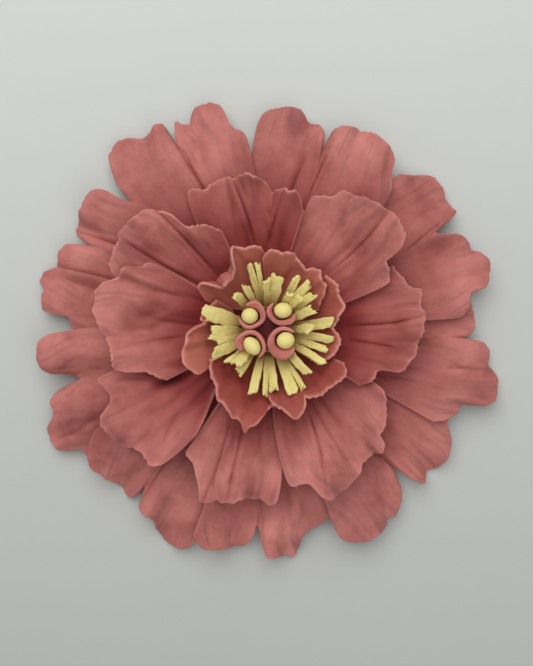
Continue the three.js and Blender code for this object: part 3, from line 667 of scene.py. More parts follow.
def petal_surface(ring, petal, seed):
    """The middle surface of a petal as a grid of points, with what its finish needs to know at each."""
    draws = np.random.default_rng(seed)
    first, last = petal["outline"][0][0], petal["outline"][-1][0]
    rim_angles = np.degrees(np.array(RIM_STEPS) / (0.6 * ring["reach"]))
    inside = np.linspace(first + rim_angles[-1], last - rim_angles[-1], ring["columns"])
    angle = np.concatenate([first + rim_angles[:-1], inside, (last - rim_angles[:-1])[::-1]])
    arc = np.radians(angle) * ring["reach"]
    wander = ring["wander"] * (0.6 * wave(draws, arc, SHORT_WANDER) + wave(draws, arc, LONG_WANDER))
    roll, radius = edge_roll(petal, angle)
    start = edge_reach(ring, petal, angle) + wander - ROLL_BULGE * radius * np.minimum(roll, 1)
    edge = start + roll * radius
    inner_rows = np.linspace(0, 1, ring["rows"])[:, None]
    rim_rows = np.array(RIM_STEPS[::-1])[1:, None]
    distance = np.concatenate([mix(ROOT_DISTANCE, edge - RIM_STEPS[-1], inner_rows), edge - rim_rows])
    angle = np.broadcast_to(angle, distance.shape)
    along = (distance - ROOT_DISTANCE) / (edge - ROOT_DISTANCE)
    neck_share, neck_end = petal.get("neck", NECK)
    narrowed = angle * mix(neck_share, 1, smooth(along, 0, neck_end))

    crowded = towards_side(ring, narrowed, SWELL_CROWD)
    outward = smooth(distance, ROOT_DISTANCE + STIFF_ROOT, FULLY_LOOSE * ring["reach"])
    loose = outward * mix(1, CROWDED_LOOSE, crowded)
    crowd_free = outward * (1 - crowded)
    sideways = np.radians(narrowed) * distance
    depth = creases(draws, petal, along, narrowed, distance)
    from_edge = edge - distance
    curl_length, frill_length = ring["curl_length"], ring["frill_length"]
    curl = wave(draws, arc, curl_length) * ring["curl"] * np.exp(-from_edge / (CURL_DEPTH * curl_length))
    frill = wave(draws, arc + 3 * along, frill_length) * ring["frill"] * np.exp(-from_edge / FRILL_DEPTH)
    low = swells(draws, sideways, distance, SWELL * ring["reach"]) * ring["swell"]
    crumple = swells(draws, 1.6 * sideways, distance, CRUMPLE * ring["reach"]) * ring["swell"]
    crumple = crumple * CRUMPLE_HEIGHT * along
    twist = swells(draws, sideways, distance, TWIST * ring["reach"])
    lift = edge_lift(ring, petal, angle) * ring["lift"] * along**LIFT_POWER
    side_gap = np.radians(np.minimum(last - angle, angle - first)) * distance
    droop = ring["droop"] * np.exp(-np.minimum(from_edge, side_gap) / DROOP_LENGTH)
    shift = stack_shift(ring, petal, distance, narrowed) + lift
    shift = shift + (low + crumple + curl + frill - ring["crease"] * depth) * loose - droop * crowd_free
    points = bowl_point(ring, distance, petal["at"] + narrowed, shift, start, radius)
    points[..., 2] = np.maximum(points[..., 2], TABLE_SPARE)

    root_gap = distance - ROOT_DISTANCE
    across_grain = (sideways + GRAIN_TWIST * twist) / GRAIN_WIDTH
    facts = {
        "half": rounding(side_gap, root_gap, from_edge),
        # the paler cut edge, partly a painted highlight
        "rim": ring["rim"] * (1 - np.clip(np.minimum(side_gap, from_edge) / PALE_RIM, 0, 1)),
        # deep red near the root: partly a darker tone, partly painted shade where the petal goes under the
        # next ring
        "deep": 1 - smooth(distance, *petal.get("deep", ring["deep"])),
        "tip": smooth(along, 0.55, 1),
        # warm tint on the inner petals: partly their own browner tone, partly a painted reflection of the
        # yellow stamens
        "warm": ring["warm"] * (1 - smooth((distance - start) / radius, 0.5, 1.4)),
        "crease": np.clip(depth, 0, 1),
        "grain": np.stack([across_grain, distance / GRAIN_LENGTH, np.full_like(along, seed)], axis=-1),
    }
    return points, facts


def grid_mesh(name, points, facts):
    """A mesh of a grid of points, its columns to the left of its rows, with an attribute for each fact."""
    rows, columns = points.shape[:2]
    numbers = np.arange(rows * columns).reshape(rows, columns)
    quads = np.stack([numbers[:-1, :-1], numbers[1:, :-1], numbers[1:, 1:], numbers[:-1, 1:]], axis=-1)
    mesh = bpy.data.meshes.new(name)
    mesh.from_pydata((points.reshape(-1, 3) * MM).tolist(), [], quads.reshape(-1, 4).tolist())
    for key, values in facts.items():
        is_place = key == "grain"
        kind, field = ("FLOAT_VECTOR", "vector") if is_place else ("FLOAT", "value")
        flat = np.broadcast_to(values, points.shape if is_place else (rows, columns)).astype(np.float32)
        mesh.attributes.new(key, kind, "POINT").data.foreach_set(field, flat.ravel())
    return mesh


class Wire:
    """A socket of a node tree. Arithmetic on it adds Math nodes, and add makes any other node."""

    def __init__(self, tree, socket=None):
        self.tree = tree
        self.socket = socket

    def add(self, kind, settings=None, inputs=None, output=0):
        """Adds a node with its settings and its sockets' values or wires, and gives one of its outputs."""
        node = self.tree.nodes.new(kind)
        for name, value in (settings or {}).items():
            setattr(node, name, value)
        for key, value in (inputs or {}).items():
            for one in value if isinstance(value, list) else [value]:
                if isinstance(one, Wire):
                    self.tree.links.new(one.socket, node.inputs[key])
                else:
                    node.inputs[key].default_value = one
        return Wire(self.tree, node.outputs[output] if len(node.outputs) else None)

    def math(self, operation, *others):
        return self.add("ShaderNodeMath", {"operation": operation}, dict(enumerate([self, *others])))

    def __add__(self, other):
        return self.math("ADD", other)

    __radd__ = __add__

    def __sub__(self, other):
        return self.math("SUBTRACT", other)

    def __rsub__(self, other):
        return self.add("ShaderNodeMath", {"operation": "SUBTRACT"}, {0: other, 1: self})

    def __mul__(self, other):
        return self.math("MULTIPLY", other)

    __rmul__ = __mul__

    def __truediv__(self, other):
        return self.math("DIVIDE", other)

    def __pow__(self, other):
        return self.math("POWER", other)


def tree_with(name, *sizes):
    """An empty Geometry Nodes tree with an input for each size and for a material, and a wire from each."""
    tree = bpy.data.node_groups.new(name, "GeometryNodeTree")
    tree.interface.new_socket(name="Geometry", in_out="OUTPUT", socket_type="NodeSocketGeometry")
    kinds = {"Geometry": "Geometry", **dict.fromkeys(sizes, "Float"), "Material": "Material"}
    for label, kind in kinds.items():
        tree.interface.new_socket(name=label, in_out="INPUT", socket_type="NodeSocket" + kind)
    entry = tree.nodes.new("NodeGroupInput")
    wires = {socket.name: Wire(tree, socket) for socket in entry.outputs if socket.name}
    return tree, wires


def close_tree(tree, geometry, material):
    """Ends a tree in real, smooth faces of one material."""
    smoothed = geometry.add("GeometryNodeSetShadeSmooth", {}, {"Geometry": geometry})
    real = geometry.add("GeometryNodeRealizeInstances", {}, {"Geometry": smoothed})
    painted = geometry.add("GeometryNodeSetMaterial", {}, {"Geometry": real, "Material": material})
    leave = tree.nodes.new("NodeGroupOutput")
    tree.links.new(painted.socket, leave.inputs["Geometry"])


def attribute(wire, name):
    return wire.add("GeometryNodeInputNamedAttribute", {"data_type": "FLOAT"}, {"Name": name})


def foam_tree():
    """Gives a surface the thickness of foam. Its two skins meet where the attribute half falls to nothing."""
    tree, given = tree_with("Foam Sheet", "Thickness", "Unevenness", "Lump Scale", "Seed")
    surface = given["Geometry"]
    half = attribute(surface, "half")
    normal = surface.add("GeometryNodeInputNormal")
    lumps = surface.add(
        "ShaderNodeTexNoise",
        {"noise_dimensions": "4D"},
        {"W": given["Seed"], "Scale": given["Lump Scale"], "Detail": 3.0},
    )
    skins = []
    for side in (1, -1):
        depth = half * (given["Thickness"] * 0.5 + (lumps - 0.5) * given["Unevenness"]) * side
        offset = surface.add("ShaderNodeVectorMath", {"operation": "SCALE"}, {0: normal, "Scale": depth})
        skin = surface.add("GeometryNodeSetPosition", {}, {"Geometry": surface, "Offset": offset})
        skins.append(skin if side > 0 else surface.add("GeometryNodeFlipFaces", {}, {"Mesh": skin}))
    joined = surface.add("GeometryNodeJoinGeometry", {}, {"Geometry": skins})
    merged = surface.add("GeometryNodeMergeByDistance", {}, {"Geometry": joined, "Distance": 0.002 * MM})
    close_tree(tree, merged, given["Material"])
    return tree


def fringe_tree():
    """Makes one cut strip of foam for each point, from the sizes that the point carries."""
    tree, given = tree_with(
        "Stamen Fringe",
        "Root Radius",
        "Root Height",
        "Bend Radius",
        "Bend Height",
        "Tip Height",
        "Root Width",
        "Ragged",
        "Droop",
        "Rim",
    )
    start = given["Geometry"]
    sheet = start.add(
        "GeometryNodeMeshGrid",
        {},
        {"Size X": 1.0, "Size Y": 1.0, "Vertices X": STRIP_ROWS, "Vertices Y": STRIP_COLUMNS},
    )
    strips = start.add("GeometryNodeInstanceOnPoints", {}, {"Points": start, "Instance": sheet})
    flat = start.add("GeometryNodeRealizeInstances", {}, {"Geometry": strips})
    place = start.add("GeometryNodeInputPosition")
    split = [start.add("ShaderNodeSeparateXYZ", {}, {"Vector": place}, i) for i in range(2)]
    along = ((split[0] + 0.5) * (math.pi / 2)).math("SINE")
    across = (split[1] * math.pi).math("SINE")
    bearing, reach, width, slant, sag, sway, tilt, number = [
        attribute(start, name)
        for name in ("bearing", "reach", "width", "slant", "sag", "sway", "tilt", "number")
    ]
    before = 1 - along
    weights = [before * before, 2 * along * before, along * along]

    def bezier(points):
        return points[0] * weights[0] + points[1] * weights[1] + points[2] * weights[2]

    def uneven(x, y, scale, offset):
        spot = start.add("ShaderNodeCombineXYZ", {}, {"X": x, "Y": y, "Z": number * STRIP_APART + offset})
        noise = start.add("ShaderNodeTexNoise", {}, {"Vector": spot, "Scale": scale, "Detail": 2.0})
        return noise - 0.5

    broad = uneven(across, along * 0.3, scale=1.1, offset=0.0)
    fine = uneven(across, 0.0, scale=3.2, offset=9.0)
    torn = (broad + fine * 0.6) * given["Ragged"] * along**8
    radius = bezier([given["Root Radius"], given["Bend Radius"], reach]) + across * slant * along**3 + torn
    wobble = uneven(along * 4.0, across * 0.5, scale=1.3, offset=3.0) * 0.9 + 1.0
    spread = (along * 1.6).math("MINIMUM", 1.0)
    half_width = (given["Root Width"] * (1 - spread) + width * 0.9 * spread) * 0.5 * wobble
    aside = across * half_width + sway * along * along
    height = bezier([given["Root Height"], given["Bend Height"], given["Tip Height"]])
    height = height - sag * across * across * along + tilt * across * along - given["Droop"] * along**5
    height = height + uneven(along * 2.0, across, scale=1.5, offset=5.0) * 2.2 * MM * along
    cosine = bearing.math("COSINE")
    sine = bearing.math("SINE")
    point = start.add(
        "ShaderNodeCombineXYZ",
        {},
        {"X": radius * cosine - aside * sine, "Y": radius * sine + aside * cosine, "Z": height},
    )
    from_side = (1 - across.math("ABSOLUTE")) * half_width
    from_end = before * (reach - given["Root Radius"])
    inside = (from_side.math("MINIMUM", from_end) / given["Rim"]).math("MINIMUM", 1.0)
    half = (1 - (1 - inside) * (1 - inside)).math("SQRT")
    grain = start.add("ShaderNodeCombineXYZ", {}, {"X": across * 1.3, "Y": along * 2.0, "Z": number})
    made = flat
    for name, value in (("half", half), ("along", along), ("rim", 1 - inside), ("grain", grain)):
        made = start.add(
            "GeometryNodeStoreNamedAttribute",
            {"data_type": "FLOAT_VECTOR" if value is grain else "FLOAT"},
            {"Geometry": made, "Name": name, "Value": value},
        )
    bent = start.add("GeometryNodeSetPosition", {}, {"Geometry": made, "Position": point})
    close_tree(tree, bent, given["Material"])
    return tree


def placed(name, data):
    """A new object of the scene for a mesh, a light or a camera."""
    obj = bpy.data.objects.new(name, data)
    bpy.context.scene.collection.objects.link(obj)
    return obj


def piece(name, mesh, material, stands_for):
    """An object of the flower that rides on its only body and stands for CAD nodes."""
    mesh.name = name
    obj = placed(name, mesh)
    mesh.materials.clear()
    mesh.materials.append(material)
    for polygon in mesh.polygons:
        polygon.material_index = 0
    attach(obj, "root")
    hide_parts(*stands_for)


def through_trees(mesh, steps):
    """Runs Geometry Nodes trees with their inputs on a mesh, and gives the result as a plain mesh."""
    holder = placed(mesh.name, mesh)
    for tree, values in steps:
        modifier = holder.modifiers.new(tree.name, "NODES")
        modifier.node_group = tree
        for item in tree.interface.items_tree:
            if item.in_out == "INPUT" and item.name in values:
                modifier[item.identifier] = values[item.name]
    evaluated = holder.evaluated_get(bpy.context.evaluated_depsgraph_get())
    made = bpy.data.meshes.new_from_object(evaluated)
    holder.modifiers.clear()
    bpy.data.objects.remove(holder)
    return made


def joined(meshes, name):
    """One mesh of several, with their attributes."""
    holders = [placed(name, mesh) for mesh in meshes]
    with bpy.context.temp_override(active_object=holders[0], selected_editable_objects=holders):
        bpy.ops.object.join()
    mesh = holders[0].data
    bpy.data.objects.remove(holders[0])
    return mesh


def wall_faces(rows, sides):
    """Faces between each row of a round grid and the next one."""
    faces = []
    for row, following in zip(rows, rows[1:]):
        low, high = row * sides, following * sides
        for s in range(sides):
            after = (s + 1) % sides
            faces.append((low + s, low + after, high + after, high + s))
    return faces


def turned_mesh(name, profile, sides):
    """A round solid about +Z from a profile of [radius, height] points, bottom first, closed at its poles."""
    turn = np.linspace(0, math.tau, sides, endpoint=False)
    rings = [(radius, height) for radius, height in profile if radius > 0]
    points = []
    for radius, height in rings:
        points += [(radius * math.cos(a) * MM, radius * math.sin(a) * MM, height * MM) for a in turn]
    faces = wall_faces(range(len(rings)), sides)
    top_row = (len(rings) - 1) * sides
    for height, row_start, order in ((profile[0][1], 0, -1), (profile[-1][1], top_row, 1)):
        pole = len(points)
        points.append((0, 0, height * MM))
        for s in range(sides):
            faces.append((pole, *(row_start + s, row_start + (s + 1) % sides)[::order]))
    mesh = bpy.data.meshes.new(name)
    mesh.from_pydata(points, [], faces)
    mesh.shade_smooth()
    return mesh


def rounded_profile(radius, low, high, fillet, steps=5):
    """Profile of a disc with rounded corners."""
    profile = [(0, low)]
    for centre, start in ((low + fillet, -90), (high - fillet, 0)):
        for i in range(steps + 1):
            turn = math.radians(start + 90 * i / steps)
            profile.append((radius - fillet + fillet * math.cos(turn), centre + fillet * math.sin(turn)))
    return [*profile, (0, high)]


def band_mesh(name, radius, top):
    """A wound band of foam, as a closed ring with rounded edges."""
    sides = 96
    upper = top - BAND_ROUND
    lower = PLUG_BOTTOM + BAND_ROUND
    corners = []
    for side, height, start in ((1, upper, 0), (-1, upper, 90), (-1, lower, 180), (1, lower, 270)):
        centre = radius + side * (FOAM / 2 - BAND_ROUND)
        for turn in (start, start + 45, start + 90):
            angle = math.radians(turn)
            corners.append((centre + BAND_ROUND * math.cos(angle), height + BAND_ROUND * math.sin(angle)))
    turn = np.linspace(0, 360, sides, endpoint=False)
    points = np.stack([polar(r, turn, z) for r, z in corners])
    flat = (points.reshape(-1, 3) * MM).tolist()
    mesh = bpy.data.meshes.new(name)
    mesh.from_pydata(flat, [], wall_faces([*range(len(corners)), 0], sides))
    mesh.shade_smooth()
    return mesh


# Finishes


def new_material(name):
    material = bpy.data.materials.new(name)
    material.use_nodes = True
    tree = material.node_tree
    shader = tree.nodes["Principled BSDF"]
    return material, Wire(tree), shader


def connect(wires, shader, values):
    for name, value in values.items():
        if isinstance(value, Wire):
            wires.tree.links.new(value.socket, shader.inputs[name])
        else:
            shader.inputs[name].default_value = value


def fact(wires, name, output="Fac"):
    return wires.add("ShaderNodeAttribute", {"attribute_name": name}, {}, output)


def noise(wires, vector, scale, detail=3.0, roughness=0.55):
    values = {"Vector": vector, "Scale": scale, "Detail": detail, "Roughness": roughness}
    return wires.add("ShaderNodeTexNoise", {}, values)


def blend(wires, share, first, second):
    return wires.add("ShaderNodeMix", {"data_type": "RGBA"}, {0: share, 6: first, 7: second}, 2)


def srgb(red, green, blue):
    """A colour as written in a picture file, as Blender's linear colour."""

    def linear(value):
        share = value / 255
        return share / 12.92 if share <= 0.04045 else ((share + 0.055) / 1.055) ** 2.4

    return (linear(red), linear(green), linear(blue), 1)


DARK_ROSE = srgb(163, 87, 81)
LIGHT_ROSE = srgb(217, 137, 128)
STREAK_ROSE = srgb(158, 78, 72)
MOTTLE_ROSE = srgb(212, 134, 123)
# greyish-brown streaky marks towards the petal tips
TIP_MARK_BROWN = srgb(132, 82, 80)
# warm tint: partly the inner foam's own browner tone, partly a painted reflection of the yellow stamens
REFLECTION_AND_TONE_PINK = srgb(208, 120, 100)
# deep red near the roots: partly a darker tone, partly painted shade
SHADE_AND_TONE_RED = srgb(140, 42, 41)
# painted shade in creases and wrinkles
CREASE_SHADE_RED = srgb(116, 38, 38)
# paler cut, partly a painted highlight
CUT_AND_HIGHLIGHT_PINK = srgb(222, 150, 138)
DARK_YELLOW = srgb(236, 217, 128)
LIGHT_YELLOW = srgb(255, 244, 166)
STREAK_YELLOW = srgb(202, 170, 84)
# painted shade in the pits of torn faces
PIT_SHADE_YELLOW = srgb(196, 164, 84)
# painted shade towards the strips' roots
ROOT_SHADE_BROWN = srgb(158, 110, 42)
# painted light falloff of the table: darker near the front, lighter far off
SHADED_NEAR_TABLE = srgb(188, 190, 185)
LIT_FAR_TABLE = srgb(220, 222, 217)
FOAM_SHINE = 0.35
BUMP_DISTANCE = 0.001


def finish_foam(wires, shader, colour, roughness, height, strength):
    """Ends a foam's material: its colour, its soft shine and the small relief of its skin."""
    relief = {"Strength": strength, "Distance": BUMP_DISTANCE, "Height": height}
    values = {"Base Color": colour, "Roughness": roughness, "Specular IOR Level": FOAM_SHINE}
    connect(wires, shader, {**values, "Normal": wires.add("ShaderNodeBump", {}, relief)})


def pink_foam():
    """Heat-shaped foam: clouded rose; deep red towards the root, partly a darker tone and partly painted
    shade;
    painted shade along creases and wrinkles; a warm tint, partly a painted reflection of the yellow stamens;
    paler at the cut, partly a painted highlight.
    """
    material, wires, shader = new_material("heat-shaped pink foam")
    place = wires.add("ShaderNodeTexCoord", {}, {}, "Object")
    grain = fact(wires, "grain", "Vector")
    deep, tip, warm, rim, pressed = [fact(wires, name) for name in ("deep", "tip", "warm", "rim", "crease")]
    cloud = noise(wires, place, scale=26.0, detail=6.0, roughness=0.62)
    mottle = noise(wires, place, scale=170.0, roughness=0.6)
    streaks = noise(wires, grain, scale=0.55)
    wrinkle = 1 - (noise(wires, grain, scale=0.6, detail=1.0, roughness=0.5) - 0.5).math("ABSOLUTE") * 22.0
    lines = wrinkle.math("MAXIMUM", 0.0) * (0.35 + 0.65 * cloud)
    blotches = noise(wires, grain, scale=0.45, roughness=0.6)
    pores = noise(wires, place, scale=2600.0, detail=2.0, roughness=0.7)
    body = blend(wires, cloud * 2.8 - 0.92, DARK_ROSE, LIGHT_ROSE)
    body = blend(wires, (streaks - 0.48) * 0.7, body, STREAK_ROSE)
    body = blend(wires, (mottle - 0.5) * 0.9, body, MOTTLE_ROSE)
    # greyish-brown streaky marks towards the tips
    tip_marks = ((blotches - 0.5) * 5.0).math("MINIMUM", 1.0).math("MAXIMUM", 0.0) * tip * 0.6
    body = blend(wires, tip_marks, body, TIP_MARK_BROWN)
    # warm tint: partly its own browner tone, partly a painted reflection of the yellow stamens
    body = blend(wires, warm * 0.8, body, REFLECTION_AND_TONE_PINK)
    # deep red towards the root: partly a darker tone, partly painted shade under the next ring and down in
    # the middle
    body = blend(wires, deep * (0.96 - 0.14 * warm), body, SHADE_AND_TONE_RED)
    # painted shade in creases and fine wrinkle lines
    body = blend(wires, lines * 0.07 + pressed * (0.22 + 0.5 * deep), body, CREASE_SHADE_RED)
    # paler cut edge, partly a painted highlight
    colour = blend(wires, rim * 0.6, body, CUT_AND_HIGHLIGHT_PINK)
    roughness = 0.55 + mottle * 0.2 - pressed * 0.06
    height = streaks * 0.3 + mottle * 0.5 + pores * 0.2 - lines * 0.1
    finish_foam(wires, shader, colour, roughness, height, strength=0.45)
    return material


def yellow_foam(name, torn):
    """Cut yellow foam: soft and matte, its cut faces a little open and rough."""
    material, wires, shader = new_material(name)
    place = wires.add("ShaderNodeTexCoord", {}, {}, "Object")
    grain = fact(wires, "grain", "Vector")
    along = fact(wires, "along")
    mottle = noise(wires, place, scale=160.0, detail=4.0, roughness=0.6)
    crumbs = noise(wires, place, scale=800.0, roughness=0.75)
    streaks = noise(wires, grain, scale=4.0)
    body = blend(wires, mottle, DARK_YELLOW, LIGHT_YELLOW)
    body = blend(wires, (streaks - 0.46) * 0.8, body, STREAK_YELLOW)
    # painted shade in the pits of the torn faces, where the relief is low
    body = blend(wires, (0.46 - crumbs) * 3.0 * torn, body, PIT_SHADE_YELLOW)
    # painted shade towards the strips' roots, low among the carpels
    colour = blend(wires, (1 - along) ** 1.4 * torn * 0.9, body, ROOT_SHADE_BROWN)
    height = crumbs * 0.6 + mottle * 0.4
    finish_foam(wires, shader, colour, 0.6 + mottle * 0.2, height, strength=0.3 + 0.7 * torn)
    return material


PINK = pink_foam()
YELLOW_CUT = yellow_foam("cut yellow foam", 1.0)
YELLOW_BEAD = yellow_foam("moulded yellow foam", 0.0)

foam = foam_tree()
fringe = fringe_tree()


def foam_step(material, seed, unevenness=0.25, lump_scale=140.0):
    values = {
        "Thickness": FOAM * MM,
        "Unevenness": unevenness * MM,
        "Lump Scale": lump_scale,
        "Seed": float(seed),
        "Material": material,
    }
    return foam, values


# Petals
for ring, petals in ((OUTER_RING, OUTER_PETALS), (MIDDLE_RING, MIDDLE_PETALS), (INNER_RING, INNER_PETALS)):
    for number, petal in enumerate(petals, 1):
        seed = number + ring["reach"]
        points, facts = petal_surface(ring, petal, seed)
        surface = grid_mesh("surface", points, facts)
        mesh = through_trees(surface, [foam_step(PINK, seed)])
        node = f"{ring['name']}_petal_{number}"
        piece(f"shaped_{node}", mesh, PINK, [node])


# Stamens
def fringe_points(strips, reach, seed):
    """One point for each strip of a fringe, with its sizes in metres and radians."""
    draws = np.random.default_rng(seed)
    count = len(strips)
    bearings, beyond, widths = np.array(strips, float).T
    facts = {
        "bearing": np.radians(bearings),
        "reach": (reach + beyond) * MM,
        "width": widths * MM,
        "slant": np.where(np.arange(count) % 2, -1, 1) * STRIP_SLANT * MM,
        "sag": draws.uniform(*STRIP_SAG, count) * MM,
        "sway": draws.uniform(*STRIP_SWAY, count) * MM,
        "tilt": draws.uniform(*STRIP_TILT, count) * MM,
        "number": np.arange(count) + seed,
    }
    mesh = bpy.data.meshes.new("strip roots")
    mesh.from_pydata([(0, 0, 0)] * count, [], [])
    for key, values in facts.items():
        mesh.attributes.new(key, "FLOAT", "POINT").data.foreach_set("value", values.astype(np.float32))
    return mesh


def fringe_piece(name, strips, radius, top, reach, tip_height, bend, seed):
    """A wound band with its cut strips, as one piece."""
    sizes = {
        "Root Radius": radius * MM,
        "Root Height": (top - FOAM) * MM,
        "Bend Radius": (radius + bend) * MM,
        "Bend Height": mix(top, tip_height, STRIP_BEND_RISE) * MM,
        "Tip Height": tip_height * MM,
        "Root Width": STRIP_ROOT_WIDTH * MM,
        "Ragged": STRIP_RAGGED * MM,
        "Droop": STRIP_DROOP * MM,
        "Rim": STRIP_RIM * MM,
        "Material": YELLOW_CUT,
    }
    thickened = foam_step(YELLOW_CUT, seed, unevenness=STRIP_UNEVENNESS, lump_scale=STRIP_LUMPS)
    cut = through_trees(fringe_points(strips, reach, seed), [(fringe, sizes), thickened])
    mesh = joined([cut, band_mesh("band", radius, top)], "fringe")
    piece(f"cut_stamens_{name}", mesh, YELLOW_CUT, [f"stamen_fringe_{name}"])


fringe_piece(
    "lower",
    LOWER_STRIPS,
    LOWER_BAND_RADIUS,
    LOWER_BAND_TOP,
    LOWER_STRIP_REACH,
    LOWER_TIP_HEIGHT,
    bend=STRIP_RISE_OUT,
    seed=20,
)
fringe_piece(
    "upper",
    UPPER_STRIPS,
    UPPER_BAND_RADIUS,
    UPPER_BAND_TOP,
    UPPER_STRIP_REACH,
    UPPER_TIP_HEIGHT,
    bend=2 * STRIP_RISE_OUT,
    seed=60,
)


# Carpels and pistils
def carpel_lean(distance):
    """How far a carpel leans outwards for its pistil's head to stand at a distance from the middle."""
    return math.asin((distance - CARPEL_FOOT_DISTANCE) / CARPEL_LENGTH)


def wrap_surface(pistil, stretch, mouth, seed):
    """The middle surface of a carpel as a grid of points, with what its finish needs to know at each.

    It is a cup about its pistil, flared to an oval shelf that is open on one side and tapers to its ends.
    """
    draws = np.random.default_rng(seed)
    pistil_bearing, pistil_distance = pistil
    across, lengthwise, stretch_turn = stretch
    mouth_bearing, mouth_distance, wide, high, opening, towards = mouth
    half_opening = opening / 2
    rim_angles = np.degrees(np.array(RIM_STEPS) / (0.7 * wide))
    far_side = 360 - half_opening
    inside = np.linspace(half_opening + rim_angles[-1], far_side - rim_angles[-1], CARPEL_COLUMNS)
    angle = np.concatenate([half_opening + rim_angles[:-1], inside, (far_side - rim_angles[:-1])[::-1]])
    below_rim = np.linspace(0, 1 - RIM_STEPS[-1] / CARPEL_LENGTH, CARPEL_ROWS)
    along = np.concatenate([below_rim, 1 - np.array(RIM_STEPS[::-1][1:]) / CARPEL_LENGTH])[:, None]
    from_opening = np.minimum(angle - half_opening, far_side - angle)
    bearing = towards - angle
    turn = np.radians(bearing)
    apart = turn - math.radians(stretch_turn)
    head = PISTIL_RADIUS * np.hypot(lengthwise * np.cos(apart), across * np.sin(apart))
    cup = head + FOAM / 2 + 2 * GLUE_GAP
    lean = carpel_lean(pistil_distance)
    height = CARPEL_LENGTH * math.cos(lean) * (1 + LIP_RISE * wave(draws, angle, LIP_RISE_WIDTH))
    z = height * curve_through(CARPEL_PROFILE, along)
    flare = mix(CARPEL_FOOT_RADIUS, cup, smooth(along, 0, CUP_TOP))
    leaned = CARPEL_FOOT_DISTANCE + z * math.tan(lean) + PISTIL_SINK * along
    axis = polar(leaned, pistil_bearing, PLUG_TOP + GLUE_GAP + z)
    oval = np.hypot(wide * np.cos(turn), high * np.sin(turn)) - FOAM / 2 - CARPEL_LIP_SPARE
    rim = oval + LIP_WANDER * wave(draws, angle, LIP_WANDER_WIDTH)
    lip = polar(mouth_distance, mouth_bearing, PLUG_TOP + GLUE_GAP + z) + polar(rim, bearing, 0)
    whole = mix(SHELF_END, 1, smooth(from_opening, 0, SHELF_TAPER))
    points = mix(axis + polar(flare, bearing, 0), lip, (smooth(along, CUP_TOP, 1.02) * whole)[..., None])
    side_gap = np.radians(from_opening) * flare
    rim_gap = (1 - along) * height
    along = np.broadcast_to(along, side_gap.shape)
    thickness = mix(1, LIP_THICKNESS, smooth(along, 0.6, 0.9)) * whole**0.4
    facts = {
        "half": rounding(side_gap, along * height, rim_gap) * thickness,
        # paler rim: partly the cut, partly a painted highlight
        "rim": 0.5 - 0.5 * np.clip(np.minimum(side_gap, rim_gap) / (1.2 * RIM), 0, 1),
        # painted shade down inside the cup
        "deep": 1 - smooth(along, 0.45, 0.8),
        "tip": 0,
        # warm tint: partly its own tone, partly a painted reflection of the yellow pistil
        "warm": 0.4,
        "crease": 0,
        "grain": np.stack(np.broadcast_arrays(angle / 20, along / 2, float(seed)), axis=-1),
    }
    return points, facts


def pistil_profile():
    """A teardrop whose pointed foot stands in the carpel."""
    foot = CARPEL_FOOT_RADIUS - FOAM / 2 - GLUE_GAP
    centre = PISTIL_LENGTH - PISTIL_RADIUS
    profile = [(0, 0), (foot * 0.8, 0), (foot, 0.3), (foot * 1.1, centre * 0.3), (foot * 1.3, centre * 0.5)]
    for turn in np.radians(np.arange(-56, 90, 7)):
        profile.append((PISTIL_RADIUS * math.cos(turn), centre + PISTIL_RADIUS * math.sin(turn)))
    return [*profile, (0, PISTIL_LENGTH)]


def seat_on_plug(mesh, bearing, lean):
    """Leans a mesh outwards from its foot and slides it along its own axis down to the glue on the plug."""
    turn = Euler((0, lean, math.radians(bearing)), "XYZ").to_matrix().to_4x4()
    foot = polar(CARPEL_FOOT_DISTANCE, bearing, PLUG_TOP) * MM
    mesh.transform(Matrix.Translation(Vector(foot)) @ turn)
    lowest = min(vertex.co.z for vertex in mesh.vertices)
    axis = turn @ Vector((0, 0, 1))
    mesh.transform(Matrix.Translation(axis * (((PLUG_TOP + GLUE_GAP) * MM - lowest) / axis.z)))


def stretch_head(mesh, bearing, across, along, turn):
    """Stretches a pistil's head in its own plane, as each was rolled a little differently, and sinks it."""
    top = max(vertex.co.z for vertex in mesh.vertices)
    head = [vertex for vertex in mesh.vertices if vertex.co.z > top - HEAD_LENGTH * PISTIL_RADIUS * MM]
    middle = sum((vertex.co for vertex in head), Vector()) / len(head)
    axis = Vector((math.cos(math.radians(turn)), math.sin(math.radians(turn)), 0))
    sunk = Vector(polar(PISTIL_SINK, bearing, -PISTIL_SINK) * MM)
    for vertex in mesh.vertices:
        share = min(max((vertex.co.z - middle.z) / (PISTIL_RADIUS * MM) + STRETCH_START, 0), 1)
        apart = vertex.co - middle
        lengthwise = axis * apart.dot(axis)
        sideways = Vector((apart.x, apart.y, 0)) - lengthwise
        vertex.co += share * (lengthwise * (along - 1) + sideways * (across - 1) + sunk)


for number, (pistil, stretch, mouth) in enumerate(zip(PISTILS, PISTIL_STRETCH, CARPEL_MOUTHS), 1):
    points, facts = wrap_surface(pistil, stretch, mouth, number)
    wrap = through_trees(grid_mesh("surface", points, facts), [foam_step(PINK, number)])
    piece(f"curled_carpel_{number}", wrap, PINK, [f"carpel_{number}"])

for number, ((bearing, distance), stretch) in enumerate(zip(PISTILS, PISTIL_STRETCH), 1):
    bead = turned_mesh("bead", pistil_profile(), 48)
    seat_on_plug(bead, bearing, carpel_lean(distance))
    stretch_head(bead, bearing, *stretch)
    piece(f"egg_pistil_{number}", bead, YELLOW_BEAD, [f"pistil_{number}"])

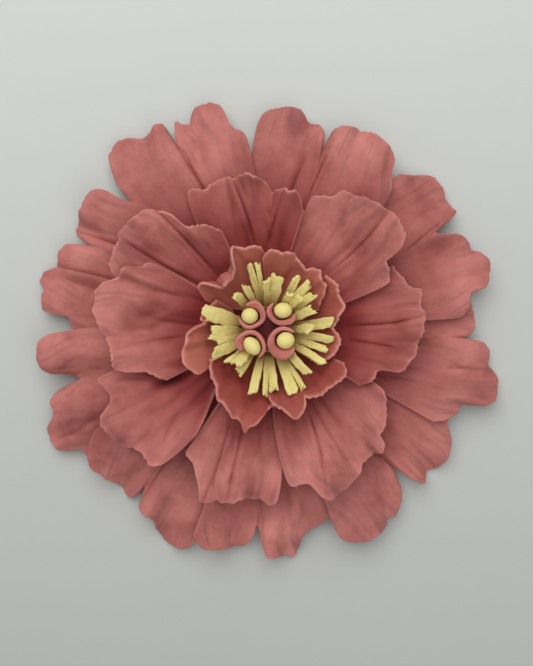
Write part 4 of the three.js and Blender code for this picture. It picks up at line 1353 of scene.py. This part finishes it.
# Backing disc and plug
disc = turned_mesh("disc", rounded_profile(DISC_RADIUS, 0, DISC_THICKNESS, 0.6), 128)
piece("cut_backing_disc", disc, PINK, ["backing_disc"])
plug = turned_mesh("plug", rounded_profile(PLUG_RADIUS, PLUG_BOTTOM, PLUG_TOP, 0.5), 72)
# painted shade: the plug is darkened all over, for the deep gap between the carpels
for shade in ("deep", "crease"):
    plug.attributes.new(shade, "FLOAT", "POINT").data.foreach_set("value", np.full(len(plug.vertices), 1.0))
piece("wound_plug", plug, PINK, ["centre_plug"])


# Floor, lights and camera
def floor():
    mesh = bpy.data.meshes.new("table top")
    side = FLOOR_SIZE / 2
    corners = [(-side, -side, 0), (side, -side, 0), (side, side, 0), (-side, side, 0)]
    mesh.from_pydata(corners, [], [(0, 1, 2, 3)])
    obj = placed("table_top", mesh)
    obj.location.z = FLOOR_HEIGHT
    material, wires, shader = new_material("pale table")
    place = wires.add("ShaderNodeTexCoord", {}, {}, "Object")
    cloud = noise(wires, place, 3.0, 2.0)
    away = wires.add("ShaderNodeSeparateXYZ", {}, {"Vector": place}, 1)
    # painted light falloff: the table darker towards the front
    share = (away / FLOOR_SHADE_DEPTH + 0.5 + (cloud - 0.5) * 0.2).math("MAXIMUM", 0.0).math("MINIMUM", 1.0)
    shade = blend(wires, share, SHADED_NEAR_TABLE, LIT_FAR_TABLE)
    connect(wires, shader, {"Base Color": shade, "Roughness": 0.7 + cloud * 0.1, "Specular IOR Level": 0.2})
    mesh.materials.append(material)


def area_light(name, place, size, power, target):
    lamp = bpy.data.lights.new(name, "AREA")
    lamp.shape = "DISK"
    lamp.size = size
    lamp.energy = power
    obj = placed(name, lamp)
    obj.location = place
    obj.rotation_euler = (target - place).to_track_quat("-Z", "Y").to_euler()


floor()
middle = Vector((0, 0, 0.03))
area_light("key", KEY_PLACE, KEY_SIZE, KEY_POWER, middle)
area_light("fill", FILL_PLACE, FILL_SIZE, FILL_POWER, middle)

world = bpy.data.worlds.new("studio")
world.use_nodes = True
world.node_tree.nodes["Background"].inputs["Color"].default_value = SKY_COLOUR
world.node_tree.nodes["Background"].inputs["Strength"].default_value = SKY_STRENGTH
bpy.context.scene.world = world

camera_data = bpy.data.cameras.new("camera")
camera_data.lens = CAMERA_LENS
camera_data.sensor_width = SENSOR_WIDTH
camera = placed("camera", camera_data)
camera.location = CAMERA_PLACE
bpy.context.scene.camera = camera
bpy.context.scene.view_settings.view_transform = "Standard"

bpy.context.view_layer.update()
